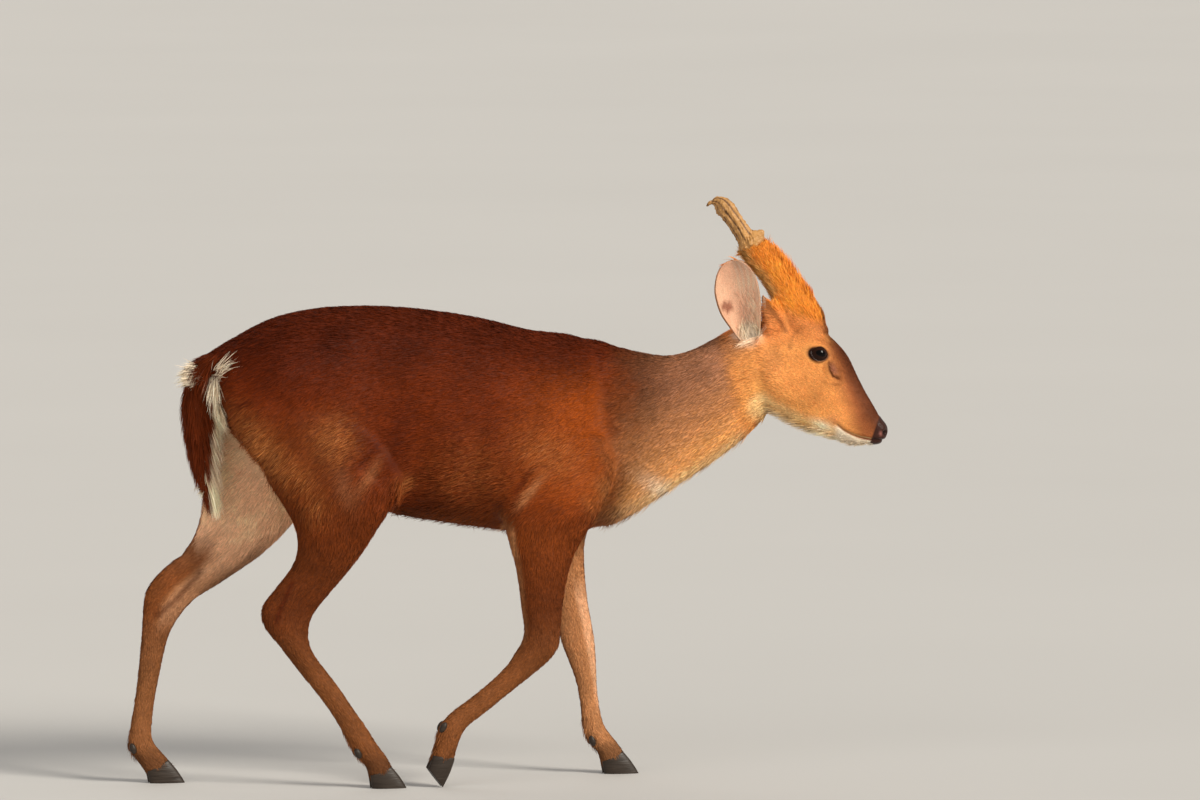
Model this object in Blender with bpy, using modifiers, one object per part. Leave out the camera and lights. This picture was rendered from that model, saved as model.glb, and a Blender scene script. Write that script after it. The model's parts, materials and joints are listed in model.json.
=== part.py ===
"""Adult male Indian muntjac, a still life-size model in a walking stance.

Metres, +Z up, nose towards +X, the animal's right side towards -Y, soles on z = 0.
The flesh is modelled whole, shaped with soft reliefs and parted into nodes by thin cuts.
"""

import math

import bmesh
import bpy
import numpy as np
from mathutils import Matrix, Vector

# Gap between touching nodes, and the fineness of the flesh
GAP = 0.0003
FORM_VOXEL = 0.004
FORM_SMOOTHING = 16
FINE_VOXEL = 0.0017
FINE_SMOOTHING = 4
SHORTEST_EDGE = 0.00006
SIDES = ((-1, "right"), (1, "left"))

# Triangles kept in each flesh node
TRIANGLES = {
    "torso": 1800,
    "neck": 600,
    "head": 3000,
    "nose_pad": 300,
    "pedicle_right": 200,
    "pedicle_left": 200,
    "upper": 260,
    "cannon": 160,
    "foot": 180,
}

# The middle of the whole model's box, so that the origin lies under it
BOX_MIDDLE = Vector((0.0005, -0.0047, 0.0))

# Head frame: x forward on the level, y to the animal's left, z up
HEAD_PLACE = Vector((0.3418, -0.024, 0.5651))
HEAD_YAW = math.radians(-11.0)
HEAD_ROLL = math.radians(-4.5)

# Eye, in the head frame for the left side, and the opening between the lids
EYE_PLACE = Vector((0.0780, 0.0320, 0.0080))
EYE_RADIUS = 0.0128
EYE_SEGMENTS = 18
EYE_RINGS = 10
EYE_OUTWARD = Vector((0.30, 0.94, 0.10)).normalized()
EYE_SLANT = math.radians(-12.0)
LID_LENGTH = 0.0109
LID_HEIGHT = 0.0077
LID_WALL = 0.0018

# Mouth line from its corner forward, seen from the side, and the lip that swells beside it
MOUTH_LINE = (
    (0.104, -0.0870),
    (0.113, -0.0940),
    (0.124, -0.1000),
    (0.136, -0.1045),
    (0.150, -0.1070),
    (0.176, -0.1085),
)
MOUTH_DEPTH = 0.0030
MOUTH_WIDTH = 0.0016
LIP_SWELL = 0.0008

# Gland fold below the front corner of the eye
GLAND_LINE = ((0.0930, -0.0040), (0.0945, -0.0140), (0.0985, -0.0215), (0.1060, -0.0255))
GLAND_DEPTH = 0.0026
GLAND_WIDTH = 0.0020

# Nose pad: the plane that parts it from the muzzle, and the nostrils
NOSE_PLANE = Vector((0.1560, 0.0, -0.0900))
NOSE_FACING = Vector((0.94, 0.0, -0.34)).normalized()
NOSTRIL_PLACE = Vector((0.1680, 0.0090, -0.0975))
NOSTRIL_RADII = Vector((0.0050, 0.0046, 0.0027))

# Ear in the head frame, for the left side: its middle line, half width, how far its rims stand
# out from that line, and how far round it is rolled, each from root to tip
EAR_MIDDLE = (
    (-0.0120, 0.0220, 0.0220),
    (-0.0180, 0.0290, 0.0440),
    (-0.0260, 0.0360, 0.0700),
    (-0.0320, 0.0420, 0.0960),
    (-0.0355, 0.0480, 0.1130),
    (-0.0380, 0.0525, 0.1240),
    (-0.0395, 0.0560, 0.1305),
    (-0.0400, 0.0575, 0.1335),
)
EAR_HALF = (0.0110, 0.0185, 0.0270, 0.0290, 0.0250, 0.0188, 0.0118, 0.0030)
EAR_RISE = (0.0150, 0.0210, 0.0200, 0.0170, 0.0135, 0.0090, 0.0050, 0.0012)
EAR_ROLL = (132.0, 96.0, 70.0, 58.0, 53.0, 50.0, 46.0, 42.0)
EAR_ACROSS = Vector((0.96, 0.06, 0.28)).normalized()
EAR_WALL = 0.0024
EAR_STEPS = 2
EAR_SPANS = 9

# Pedicle and antler in the head frame, for the left side: middle line, then half widths
# front to back and side to side
PEDICLE_LINE = (
    (0.066, 0.017, 0.030),
    (0.054, 0.021, 0.068),
    (0.037, 0.027, 0.093),
    (0.020, 0.032, 0.119),
    (-0.005, 0.039, 0.147),
    (-0.017, 0.0425, 0.164),
)
PEDICLE_HALF = (
    (0.0290, 0.0185),
    (0.0265, 0.0180),
    (0.0250, 0.0180),
    (0.0235, 0.0185),
    (0.0225, 0.0190),
    (0.0215, 0.0190),
)
ANTLER_LINE = (
    (-0.0085, 0.0400, 0.1530),
    (-0.0130, 0.0410, 0.1600),
    (-0.0205, 0.0425, 0.1680),
    (-0.0300, 0.0445, 0.1820),
    (-0.0400, 0.0465, 0.1965),
    (-0.0480, 0.0478, 0.2065),
    (-0.0550, 0.0485, 0.2120),
    (-0.0635, 0.0482, 0.2135),
    (-0.0715, 0.0475, 0.2090),
)
ANTLER_RADII = (0.0168, 0.0172, 0.0118, 0.0107, 0.0108, 0.0116, 0.0092, 0.0034, 0.0010)
ANTLER_RIDGES = 7
ANTLER_RIDGE = 0.09
BURR_NUBS = 9
ANTLER_SIDES = 21
ANTLER_STEPS = 2

# Hooves: each claw runs from the coronet to its sole. The sole's toe and heel, x and z.
CLAW_OFFSET = 0.0078
CLAW_HALF = 0.0068
SOLES = {
    "hind_right": ((-0.152, 0.0), (-0.199, 0.0)),
    "hind_left": ((-0.433, 0.0), (-0.481, 0.0)),
    "fore_right": ((-0.103, 0.0), (-0.123, 0.0260)),
    "fore_left": ((0.190, 0.0), (0.143, 0.0)),
}
# Share of the way down to the sole, share of the claw's half width, and bulge of its front
CLAW_LEVELS = ((0.0, 0.84, 0.0), (0.35, 0.96, 0.0012), (0.75, 1.0, 0.0010), (1.0, 0.97, 0.0))
DEWCLAW_RADII = (0.0048, 0.0040, 0.0078)
DEWCLAW_OFFSET = 0.0092
DEWCLAW_SINK = 0.0042

# The limbs are parted at these rows of their tables: upper part, cannon, foot, coronet
LIMB_CUTS = {
    "hind_right": (4, 10, 14, 17),
    "hind_left": (4, 10, 14, 17),
    "fore_right": (3, 9, 13, 16),
    "fore_left": (3, 9, 12, 15),
}
LIMB_PIECES = ("upper", "cannon", "foot")

# Tail fringe
FRINGE_PAIRS = 10
FRINGE_LENGTH = 0.044
TIP_LOCKS = 7
TIP_LENGTH = 0.056
LOCK_HALF = 0.0082
LOCK_WALL = 0.0020
# Root and tip of the white tuft behind the tail's root
ROOT_TUFT = ((-0.4200, 0.0080, 0.5590), (-0.4490, 0.0180, 0.5560))

# Colours
RED_BROWN = (0.31, 0.115, 0.045)
GREY_BROWN = (0.27, 0.15, 0.085)
HEAD_BROWN = (0.50, 0.26, 0.11)
ORANGE = (0.62, 0.29, 0.08)
LEG_BROWN = (0.27, 0.11, 0.055)
EAR_PINK = (0.62, 0.46, 0.40)
HORN_BROWN = (0.45, 0.33, 0.17)
HOOF_BLACK = (0.045, 0.038, 0.034)
NOSE_BLACK = (0.03, 0.022, 0.022)
EYE_BLACK = (0.02, 0.010, 0.006)

# Section rows. Upper (or front) point x, z; lower (or rear) point x, z; middle y; half width;
# height of the widest level as a share from the lower point; squareness, where 2 is an ellipse.
TORSO = (
    (-0.424, 0.574, -0.418, 0.536, 0.000, 0.020, 0.50, 2.0),
    (-0.402, 0.588, -0.388, 0.494, 0.000, 0.056, 0.55, 2.1),
    (-0.368, 0.607, -0.353, 0.448, 0.000, 0.079, 0.57, 2.2),
    (-0.318, 0.631, -0.318, 0.412, 0.000, 0.094, 0.60, 2.2),
    (-0.262, 0.643, -0.262, 0.394, 0.000, 0.097, 0.58, 2.2),
    (-0.205, 0.646, -0.205, 0.378, 0.000, 0.094, 0.55, 2.2),
    (-0.150, 0.644, -0.150, 0.362, 0.000, 0.096, 0.50, 2.2),
    (-0.090, 0.637, -0.090, 0.351, 0.000, 0.099, 0.47, 2.2),
    (-0.030, 0.626, -0.030, 0.342, 0.000, 0.097, 0.47, 2.2),
    (0.030, 0.611, 0.030, 0.334, 0.000, 0.088, 0.45, 2.1),
    (0.085, 0.604, 0.085, 0.331, 0.000, 0.075, 0.42, 2.0),
    (0.130, 0.591, 0.134, 0.345, 0.000, 0.057, 0.40, 2.0),
)

NECK = (
    (0.080, 0.601, 0.090, 0.345, 0.000, 0.062, 0.42, 2.0),
    (0.125, 0.596, 0.138, 0.342, 0.000, 0.060, 0.40, 2.0),
    (0.160, 0.585, 0.185, 0.364, -0.001, 0.055, 0.42, 2.0),
    (0.193, 0.577, 0.235, 0.396, -0.005, 0.050, 0.46, 2.0),
    (0.224, 0.575, 0.276, 0.423, -0.010, 0.046, 0.50, 2.0),
    (0.252, 0.583, 0.311, 0.450, -0.016, 0.043, 0.52, 2.1),
    (0.276, 0.595, 0.338, 0.476, -0.020, 0.041, 0.52, 2.1),
    (0.302, 0.610, 0.358, 0.500, -0.025, 0.040, 0.52, 2.1),
    (0.326, 0.619, 0.376, 0.508, -0.030, 0.038, 0.52, 2.1),
)

HIND_RIGHT = (
    (-0.205, 0.560, -0.405, 0.560, -0.046, 0.036, 0.50, 2.0),
    (-0.168, 0.480, -0.387, 0.502, -0.060, 0.041, 0.50, 2.0),
    (-0.156, 0.420, -0.354, 0.438, -0.067, 0.042, 0.52, 2.0),
    (-0.168, 0.384, -0.328, 0.394, -0.071, 0.040, 0.54, 2.0),
    (-0.190, 0.350, -0.307, 0.357, -0.073, 0.035, 0.54, 2.0),
    (-0.214, 0.314, -0.301, 0.326, -0.073, 0.029, 0.54, 2.0),
    (-0.238, 0.284, -0.309, 0.301, -0.072, 0.024, 0.56, 2.0),
    (-0.262, 0.256, -0.328, 0.276, -0.070, 0.0190, 0.58, 2.0),
    (-0.279, 0.232, -0.348, 0.248, -0.068, 0.0165, 0.60, 2.1),
    (-0.284, 0.208, -0.346, 0.222, -0.067, 0.0165, 0.58, 2.1),
    (-0.278, 0.186, -0.322, 0.190, -0.066, 0.0150, 0.56, 2.0),
    (-0.264, 0.166, -0.297, 0.157, -0.066, 0.0128, 0.52, 2.0),
    (-0.244, 0.140, -0.272, 0.126, -0.065, 0.0115, 0.50, 2.0),
    (-0.222, 0.108, -0.249, 0.093, -0.065, 0.0112, 0.50, 2.0),
    (-0.203, 0.080, -0.233, 0.065, -0.064, 0.0135, 0.50, 2.0),
    (-0.191, 0.061, -0.222, 0.046, -0.064, 0.0140, 0.50, 2.0),
    (-0.178, 0.043, -0.208, 0.030, -0.064, 0.0145, 0.50, 2.1),
    (-0.169, 0.027, -0.203, 0.015, -0.064, 0.0150, 0.50, 2.1),
)

HIND_LEFT = (
    (-0.222, 0.560, -0.412, 0.556, 0.044, 0.036, 0.50, 2.0),
    (-0.210, 0.490, -0.408, 0.500, 0.054, 0.041, 0.50, 2.0),
    (-0.228, 0.430, -0.404, 0.440, 0.061, 0.041, 0.52, 2.0),
    (-0.258, 0.382, -0.405, 0.396, 0.065, 0.039, 0.54, 2.0),
    (-0.285, 0.343, -0.409, 0.362, 0.066, 0.034, 0.54, 2.0),
    (-0.318, 0.311, -0.418, 0.334, 0.066, 0.028, 0.54, 2.0),
    (-0.353, 0.286, -0.432, 0.314, 0.065, 0.0235, 0.55, 2.0),
    (-0.386, 0.265, -0.450, 0.298, 0.064, 0.0195, 0.56, 2.0),
    (-0.416, 0.247, -0.469, 0.282, 0.063, 0.0170, 0.58, 2.0),
    (-0.438, 0.224, -0.485, 0.259, 0.062, 0.0165, 0.60, 2.1),
    (-0.452, 0.200, -0.489, 0.232, 0.061, 0.0160, 0.58, 2.1),
    (-0.459, 0.176, -0.492, 0.190, 0.061, 0.0142, 0.54, 2.0),
    (-0.465, 0.148, -0.496, 0.152, 0.060, 0.0122, 0.50, 2.0),
    (-0.472, 0.112, -0.501, 0.112, 0.060, 0.0112, 0.50, 2.0),
    (-0.476, 0.080, -0.507, 0.076, 0.060, 0.0120, 0.50, 2.0),
    (-0.475, 0.058, -0.508, 0.046, 0.060, 0.0138, 0.50, 2.0),
    (-0.464, 0.043, -0.495, 0.026, 0.060, 0.0142, 0.50, 2.1),
    (-0.452, 0.029, -0.486, 0.013, 0.060, 0.0148, 0.50, 2.1),
)

FORE_RIGHT = (
    (0.128, 0.470, -0.030, 0.480, -0.052, 0.032, 0.50, 2.0),
    (0.128, 0.410, -0.028, 0.415, -0.062, 0.034, 0.50, 2.0),
    (0.112, 0.368, -0.022, 0.366, -0.068, 0.033, 0.50, 2.0),
    (0.085, 0.323, -0.012, 0.325, -0.070, 0.0275, 0.50, 2.0),
    (0.075, 0.300, -0.005, 0.300, -0.071, 0.0245, 0.50, 2.0),
    (0.068, 0.276, 0.000, 0.274, -0.071, 0.0215, 0.52, 2.0),
    (0.063, 0.244, 0.004, 0.241, -0.070, 0.0185, 0.54, 2.0),
    (0.060, 0.216, 0.008, 0.214, -0.069, 0.0170, 0.54, 2.1),
    (0.058, 0.190, 0.006, 0.196, -0.069, 0.0168, 0.54, 2.2),
    (0.046, 0.170, -0.003, 0.180, -0.068, 0.0162, 0.54, 2.2),
    (0.023, 0.150, -0.014, 0.164, -0.068, 0.0140, 0.52, 2.0),
    (-0.010, 0.124, -0.034, 0.144, -0.067, 0.0115, 0.50, 2.0),
    (-0.042, 0.099, -0.066, 0.119, -0.067, 0.0112, 0.50, 2.0),
    (-0.066, 0.081, -0.090, 0.101, -0.066, 0.0130, 0.50, 2.0),
    (-0.076, 0.066, -0.106, 0.083, -0.066, 0.0140, 0.50, 2.0),
    (-0.082, 0.050, -0.112, 0.060, -0.066, 0.0140, 0.50, 2.1),
    (-0.086, 0.035, -0.118, 0.042, -0.066, 0.0145, 0.50, 2.1),
)

FORE_LEFT = (
    (0.140, 0.470, -0.010, 0.480, 0.050, 0.032, 0.50, 2.0),
    (0.144, 0.410, 0.004, 0.415, 0.059, 0.034, 0.50, 2.0),
    (0.134, 0.368, 0.016, 0.366, 0.064, 0.033, 0.50, 2.0),
    (0.121, 0.323, 0.032, 0.325, 0.065, 0.0275, 0.50, 2.0),
    (0.118, 0.300, 0.044, 0.300, 0.065, 0.0245, 0.50, 2.0),
    (0.119, 0.270, 0.058, 0.266, 0.064, 0.0210, 0.52, 2.0),
    (0.122, 0.236, 0.070, 0.232, 0.063, 0.0180, 0.54, 2.0),
    (0.127, 0.208, 0.079, 0.204, 0.062, 0.0170, 0.54, 2.1),
    (0.131, 0.182, 0.085, 0.178, 0.061, 0.0168, 0.54, 2.2),
    (0.133, 0.158, 0.094, 0.155, 0.061, 0.0152, 0.52, 2.2),
    (0.134, 0.130, 0.104, 0.126, 0.060, 0.0122, 0.50, 2.0),
    (0.137, 0.098, 0.110, 0.094, 0.060, 0.0112, 0.50, 2.0),
    (0.143, 0.070, 0.114, 0.062, 0.060, 0.0130, 0.50, 2.0),
    (0.152, 0.055, 0.122, 0.044, 0.060, 0.0140, 0.50, 2.0),
    (0.163, 0.041, 0.134, 0.028, 0.060, 0.0142, 0.50, 2.1),
    (0.172, 0.028, 0.138, 0.014, 0.060, 0.0148, 0.50, 2.1),
)

SKULL = (
    (-0.052, 0.030, -0.006, -0.050, 0.000, 0.028, 0.50, 2.0),
    (-0.036, 0.041, 0.004, -0.062, 0.000, 0.037, 0.50, 2.1),
    (-0.015, 0.050, 0.016, -0.071, 0.000, 0.0415, 0.54, 2.2),
    (0.020, 0.055, 0.036, -0.082, 0.000, 0.0425, 0.58, 2.3),
    (0.055, 0.051, 0.058, -0.093, 0.000, 0.0430, 0.64, 2.3),
    (0.084, 0.040, 0.078, -0.099, 0.000, 0.0395, 0.70, 2.3),
    (0.104, 0.024, 0.094, -0.104, 0.000, 0.0325, 0.68, 2.3),
    (0.119, 0.006, 0.106, -0.109, 0.000, 0.0265, 0.60, 2.3),
    (0.131, -0.018, 0.117, -0.113, 0.000, 0.0225, 0.54, 2.3),
    (0.142, -0.040, 0.127, -0.1145, 0.000, 0.0200, 0.52, 2.3),
    (0.153, -0.059, 0.137, -0.1135, 0.000, 0.0185, 0.52, 2.3),
    (0.162, -0.075, 0.147, -0.1130, 0.000, 0.0172, 0.52, 2.3),
    (0.1705, -0.088, 0.157, -0.1135, 0.000, 0.0148, 0.52, 2.2),
    (0.1735, -0.096, 0.165, -0.1110, 0.000, 0.0085, 0.50, 2.0),
)

TAIL = (
    (-0.404, 0.582, -0.398, 0.556, 0.000, 0.018, 0.50, 2.0),
    (-0.424, 0.576, -0.403, 0.546, 0.000, 0.023, 0.54, 2.0),
    (-0.437, 0.556, -0.404, 0.536, 0.000, 0.026, 0.58, 2.0),
    (-0.442, 0.528, -0.405, 0.518, 0.000, 0.027, 0.60, 2.0),
    (-0.442, 0.494, -0.406, 0.488, 0.000, 0.026, 0.60, 2.0),
    (-0.437, 0.460, -0.407, 0.455, 0.000, 0.023, 0.60, 2.0),
    (-0.430, 0.430, -0.407, 0.426, 0.000, 0.017, 0.58, 2.0),
    (-0.423, 0.410, -0.408, 0.407, 0.000, 0.011, 0.54, 2.0),
    (-0.4185, 0.393, -0.4120, 0.392, 0.000, 0.004, 0.50, 2.0),
)

# Where the neck leaves the torso, in world places, and where the head leaves the neck, in the head frame
NECK_BASE = (0.126, 0.600, 0.166, 0.340, 0.000, 0.066, 0.5, 2.0)
HEAD_BACK = (-0.046, 0.048, 0.008, -0.070, 0.000, 0.045, 0.5, 2.0)
EAR_ROOT = (-0.0130, 0.0240, 0.0330)
EAR_ROOT_RADII = (0.0150, 0.0130, 0.0170)
# The lobe that fills the place between the ear's front rim and the pedicle, and its half widths
EAR_LOBE = (
    (0.0210, 0.0290, 0.0400),
    (0.0170, 0.0380, 0.0580),
    (0.0095, 0.0470, 0.0755),
    (0.0025, 0.0520, 0.0905),
)
EAR_LOBE_HALF = ((0.0160, 0.0110), (0.0135, 0.0085), (0.0095, 0.0055), (0.0030, 0.0024))

# Swellings (height above 0) and hollows (below 0) on both sides, in world places:
# x, y, z; reach along x, y, z; lean about y in degrees, top back is positive; height
RELIEF = (
    (0.040, 0.080, 0.500, 0.038, 0.05, 0.080, 20.0, 0.0060),
    (0.000, 0.085, 0.425, 0.044, 0.05, 0.046, 30.0, 0.0060),
    (0.118, 0.055, 0.425, 0.034, 0.05, 0.040, 0.0, 0.0090),
    (0.070, 0.075, 0.385, 0.030, 0.04, 0.040, 0.0, 0.0035),
    (-0.062, 0.100, 0.430, 0.020, 0.05, 0.060, -8.0, -0.0045),
    (0.122, 0.060, 0.520, 0.020, 0.05, 0.075, -22.0, -0.0045),
    (-0.200, 0.090, 0.560, 0.046, 0.05, 0.034, 0.0, -0.0060),
    (-0.245, 0.075, 0.600, 0.024, 0.05, 0.022, 0.0, 0.0045),
    (-0.330, 0.080, 0.545, 0.055, 0.06, 0.050, 20.0, 0.0060),
    (-0.225, 0.100, 0.455, 0.050, 0.06, 0.070, 10.0, 0.0060),
    (-0.372, 0.075, 0.470, 0.022, 0.05, 0.070, -18.0, 0.0035),
    (-0.343, 0.090, 0.450, 0.012, 0.05, 0.070, -18.0, -0.0035),
    (-0.163, 0.095, 0.400, 0.012, 0.05, 0.020, 0.0, 0.0040),
    (-0.135, 0.095, 0.420, 0.020, 0.05, 0.050, 0.0, -0.0040),
    (-0.100, 0.100, 0.480, 0.070, 0.06, 0.070, 0.0, 0.0030),
)
# The same for the right side alone, where that hind limb swings forward
RELIEF_RIGHT = (
    (-0.292, 0.088, 0.285, 0.008, 0.04, 0.026, -50.0, -0.0030),
    (-0.262, 0.088, 0.330, 0.024, 0.04, 0.034, -35.0, 0.0030),
    (-0.196, 0.100, 0.420, 0.006, 0.04, 0.018, 38.0, -0.0016),
    (-0.212, 0.100, 0.428, 0.006, 0.04, 0.018, 38.0, -0.0014),
)
RELIEF_LEFT = (
    (-0.420, 0.080, 0.300, 0.024, 0.04, 0.008, -30.0, -0.0028),
    (-0.370, 0.085, 0.335, 0.034, 0.04, 0.024, -30.0, 0.0030),
)
# The same on the head, in its own frame
HEAD_RELIEF = (
    (0.040, 0.045, -0.045, 0.030, 0.03, 0.030, 0.0, 0.0040),
    (0.008, 0.042, -0.040, 0.010, 0.03, 0.032, 20.0, -0.0025),
    (0.048, 0.045, 0.018, 0.014, 0.03, 0.018, 0.0, -0.0030),
    (0.084, 0.034, 0.030, 0.018, 0.02, 0.008, 30.0, 0.0035),
    (0.112, 0.026, -0.030, 0.016, 0.02, 0.018, 30.0, -0.0022),
    (0.092, 0.030, -0.062, 0.020, 0.02, 0.016, 30.0, -0.0018),
    (0.128, 0.020, -0.088, 0.022, 0.02, 0.010, 25.0, 0.0016),
    (0.128, 0.014, -0.116, 0.016, 0.02, 0.008, 0.0, 0.0010),
    (0.166, 0.010, -0.090, 0.006, 0.02, 0.008, 0.0, 0.0010),
)


def clear_scene():
    for item in list(bpy.data.objects):
        bpy.data.objects.remove(item, do_unlink=True)


def collection(name, hidden=False):
    made = bpy.data.collections.new(name)
    bpy.context.scene.collection.children.link(made)
    made.hide_render = hidden
    return made


def principled(name, colour, roughness):
    made = bpy.data.materials.new(name)
    made.use_nodes = True
    shader = made.node_tree.nodes["Principled BSDF"]
    shader.inputs["Base Color"].default_value = (*colour, 1.0)
    shader.inputs["Roughness"].default_value = roughness
    shader.inputs["Metallic"].default_value = 0.0
    made.diffuse_color = (*colour, 1.0)
    return made


def mesh_object(name, shape, where):
    """An object in a collection from a bmesh, which is freed."""
    bmesh.ops.recalc_face_normals(shape, faces=shape.faces)
    mesh = bpy.data.meshes.new(name)
    shape.to_mesh(mesh)
    shape.free()
    made = bpy.data.objects.new(name, mesh)
    where.objects.link(made)
    return made


def apply_modifiers(item):
    bpy.context.view_layer.update()
    graph = bpy.context.evaluated_depsgraph_get()
    mesh = bpy.data.meshes.new_from_object(item.evaluated_get(graph))
    item.modifiers.clear()
    item.data = mesh


def remove(items):
    for item in items:
        bpy.data.objects.remove(item, do_unlink=True)


def head_matrix():
    turn = Matrix.Rotation(HEAD_YAW, 4, "Z") @ Matrix.Rotation(HEAD_ROLL, 4, "X")
    return Matrix.Translation(HEAD_PLACE) @ turn


def sided(place, side):
    """A left-side place, or its mirror image for side -1."""
    return Vector((place[0], side * place[1], place[2]))


def between(rows, steps):
    """Rows read along a smooth curve through them, with so many steps to each stretch."""
    rows = np.array(rows, float)
    padded = np.vstack([2 * rows[0] - rows[1], rows, 2 * rows[-1] - rows[-2]])
    read = []
    for i in range(1, len(padded) - 2):
        a, b, c, d = padded[i - 1 : i + 3]
        for t in np.arange(steps) / steps:
            bend = (2 * a - 5 * b + 4 * c - d) * t**2 + (3 * b - a - 3 * c + d) * t**3
            read.append(0.5 * (2 * b + (c - a) * t + bend))
    read.append(padded[-2])
    return np.array(read)


def section(row, sides):
    """One closed ring through a row's upper and lower points."""
    ax, az, bx, bz, y, half, middle, square = row
    turn = np.linspace(0, 2 * math.pi, sides, endpoint=False)
    up = np.sign(np.cos(turn)) * np.abs(np.cos(turn)) ** (2 / square)
    out = np.sign(np.sin(turn)) * np.abs(np.sin(turn)) ** (2 / square)
    share = np.where(up >= 0, middle + up * (1 - middle), middle + up * middle)
    return np.stack([bx + (ax - bx) * share, y + out * half, bz + (az - bz) * share], axis=1)


def skin_rings(name, rings, where):
    """A closed object from rings of equal count, capped at both ends."""
    shape = bmesh.new()
    made = [[shape.verts.new(p) for p in ring] for ring in rings]
    count = len(made[0])
    for low, high in zip(made, made[1:]):
        for s in range(count):
            t = (s + 1) % count
            shape.faces.new((low[s], low[t], high[t], high[s]))
    shape.faces.new(made[0][::-1])
    shape.faces.new(made[-1])
    return mesh_object(name, shape, where)


def loft(name, rows, where, sides=28, steps=4):
    return skin_rings(name, [section(row, sides) for row in between(rows, steps)], where)


def tube_rings(line, halves, sides, steps, ridge=None):
    """Rings across a 3-D line. Each has a half width front to back and one side to side."""
    rows = between([(*p, *h) for p, h in zip(line, halves)], steps)
    centres, sizes = rows[:, :3], np.maximum(rows[:, 3:], 0.0004)
    ahead = np.gradient(centres, axis=0)
    rings = []
    for r, (centre, size, along) in enumerate(zip(centres, sizes, ahead)):
        along = Vector(along).normalized()
        front = along.cross(Vector((0.0, 1.0, 0.0))).normalized()
        across = front.cross(along).normalized()
        turn = np.linspace(0, 2 * math.pi, sides, endpoint=False)
        scale = np.ones(sides) if ridge is None else ridge(turn, r / (len(rows) - 1))
        a, b = np.cos(turn) * size[0] * scale, np.sin(turn) * size[1] * scale
        rings.append([Vector(centre) + front * u + across * v for u, v in zip(a, b)])
    return rings


def tube(name, line, halves, where, sides=20, steps=4, ridge=None):
    return skin_rings(name, tube_rings(line, halves, sides, steps, ridge), where)


def ball(name, centre, radii, where, segments=24, rings=16, turn=None):
    shape = bmesh.new()
    bmesh.ops.create_uvsphere(shape, u_segments=segments, v_segments=rings, radius=1.0)
    place = Matrix.Translation(centre) @ (turn or Matrix()) @ Matrix.Diagonal((*radii, 1.0))
    bmesh.ops.transform(shape, matrix=place, verts=shape.verts)
    return mesh_object(name, shape, where)


def joined(items, name, where):
    """One object that holds every item's faces. The items are removed."""
    whole = bmesh.new()
    for item in items:
        whole.from_mesh(item.data)
    remove(items)
    return mesh_object(name, whole, where)


def limb_tables():
    return {
        "hind_right": HIND_RIGHT,
        "hind_left": HIND_LEFT,
        "fore_right": FORE_RIGHT,
        "fore_left": FORE_LEFT,
    }


def flesh_forms(where):
    """The overlapping forms that the flesh is fused from."""
    items = [loft("torso_form", TORSO, where, 48), loft("neck_form", NECK, where, 40)]
    items += [loft(name + "_form", with_scrap(rows), where) for name, rows in limb_tables().items()]
    head = [loft("skull_form", SKULL, where, 40)]
    for side in (-1, 1):
        line = [sided(p, side) for p in PEDICLE_LINE]
        head.append(tube("pedicle_form", line, PEDICLE_HALF, where, 24))
        head.append(ball("ear_root", sided(EAR_ROOT, side), EAR_ROOT_RADII, where))
    for item in head:
        item.data.transform(head_matrix())
    return items + head


def with_scrap(rows):
    """A limb's rows and one more below the coronet, which the coronet cut drops."""
    last, before = rows[-1], rows[-2]
    return (*rows, tuple(2 * a - b for a, b in zip(last[:4], before[:4])) + last[4:])


def smooth_by_place(item, iterations, weigh):
    """Smooths a mesh, more where weigh gives a larger share."""
    group = item.vertex_groups.new(name="share")
    points = points_of(item.data)
    shares = np.round(weigh(points), 2)
    for share in np.unique(shares):
        group.add([int(i) for i in np.nonzero(shares == share)[0]], float(share), "REPLACE")
    smooth = item.modifiers.new("smooth", "SMOOTH")
    smooth.factor = 0.5
    smooth.iterations = iterations
    smooth.vertex_group = group.name
    apply_modifiers(item)
    item.vertex_groups.clear()


def points_of(mesh):
    points = np.empty(len(mesh.vertices) * 3)
    mesh.vertices.foreach_get("co", points)
    return points.reshape(-1, 3)


def normals_of(mesh):
    normals = np.empty(len(mesh.vertices) * 3)
    mesh.vertices.foreach_get("normal", normals)
    return normals.reshape(-1, 3)


def put_points(mesh, points):
    mesh.vertices.foreach_set("co", np.ascontiguousarray(points, np.float32).ravel())
    mesh.update()


def remeshed(item, voxel):
    remesh = item.modifiers.new("remesh", "REMESH")
    remesh.mode = "VOXEL"
    remesh.voxel_size = voxel
    apply_modifiers(item)


def ramp(value, low, high):
    """0 at low, 1 at high and smooth between."""
    t = np.clip((value - low) / (high - low), 0.0, 1.0)
    return t * t * (3 - 2 * t)


def in_head(points):
    return (points - np.array(HEAD_PLACE)) @ np.array(head_matrix().to_3x3())


def form_share(points):
    """Joints of limb and body are smoothed most, feet and head least."""
    leg = 0.12 + 0.88 * ramp(points[:, 2], 0.30, 0.40)
    head = 0.15 + 0.85 * ramp(-in_head(points)[:, 0], -0.005, 0.055)
    return np.minimum(leg, head)


def relief(points, rows, side):
    """Height of the soft swellings and hollows at each point."""
    height = np.zeros(len(points))
    for x, y, z, rx, ry, rz, lean, tall in rows:
        lean = math.radians(lean)
        dx, dy, dz = points[:, 0] - x, points[:, 1] - side * y, points[:, 2] - z
        u = (dx * math.cos(lean) + dz * math.sin(lean)) / rx
        w = (-dx * math.sin(lean) + dz * math.cos(lean)) / rz
        height += tall * np.exp(-(u**2 + (dy / ry) ** 2 + w**2))
    return height


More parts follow.
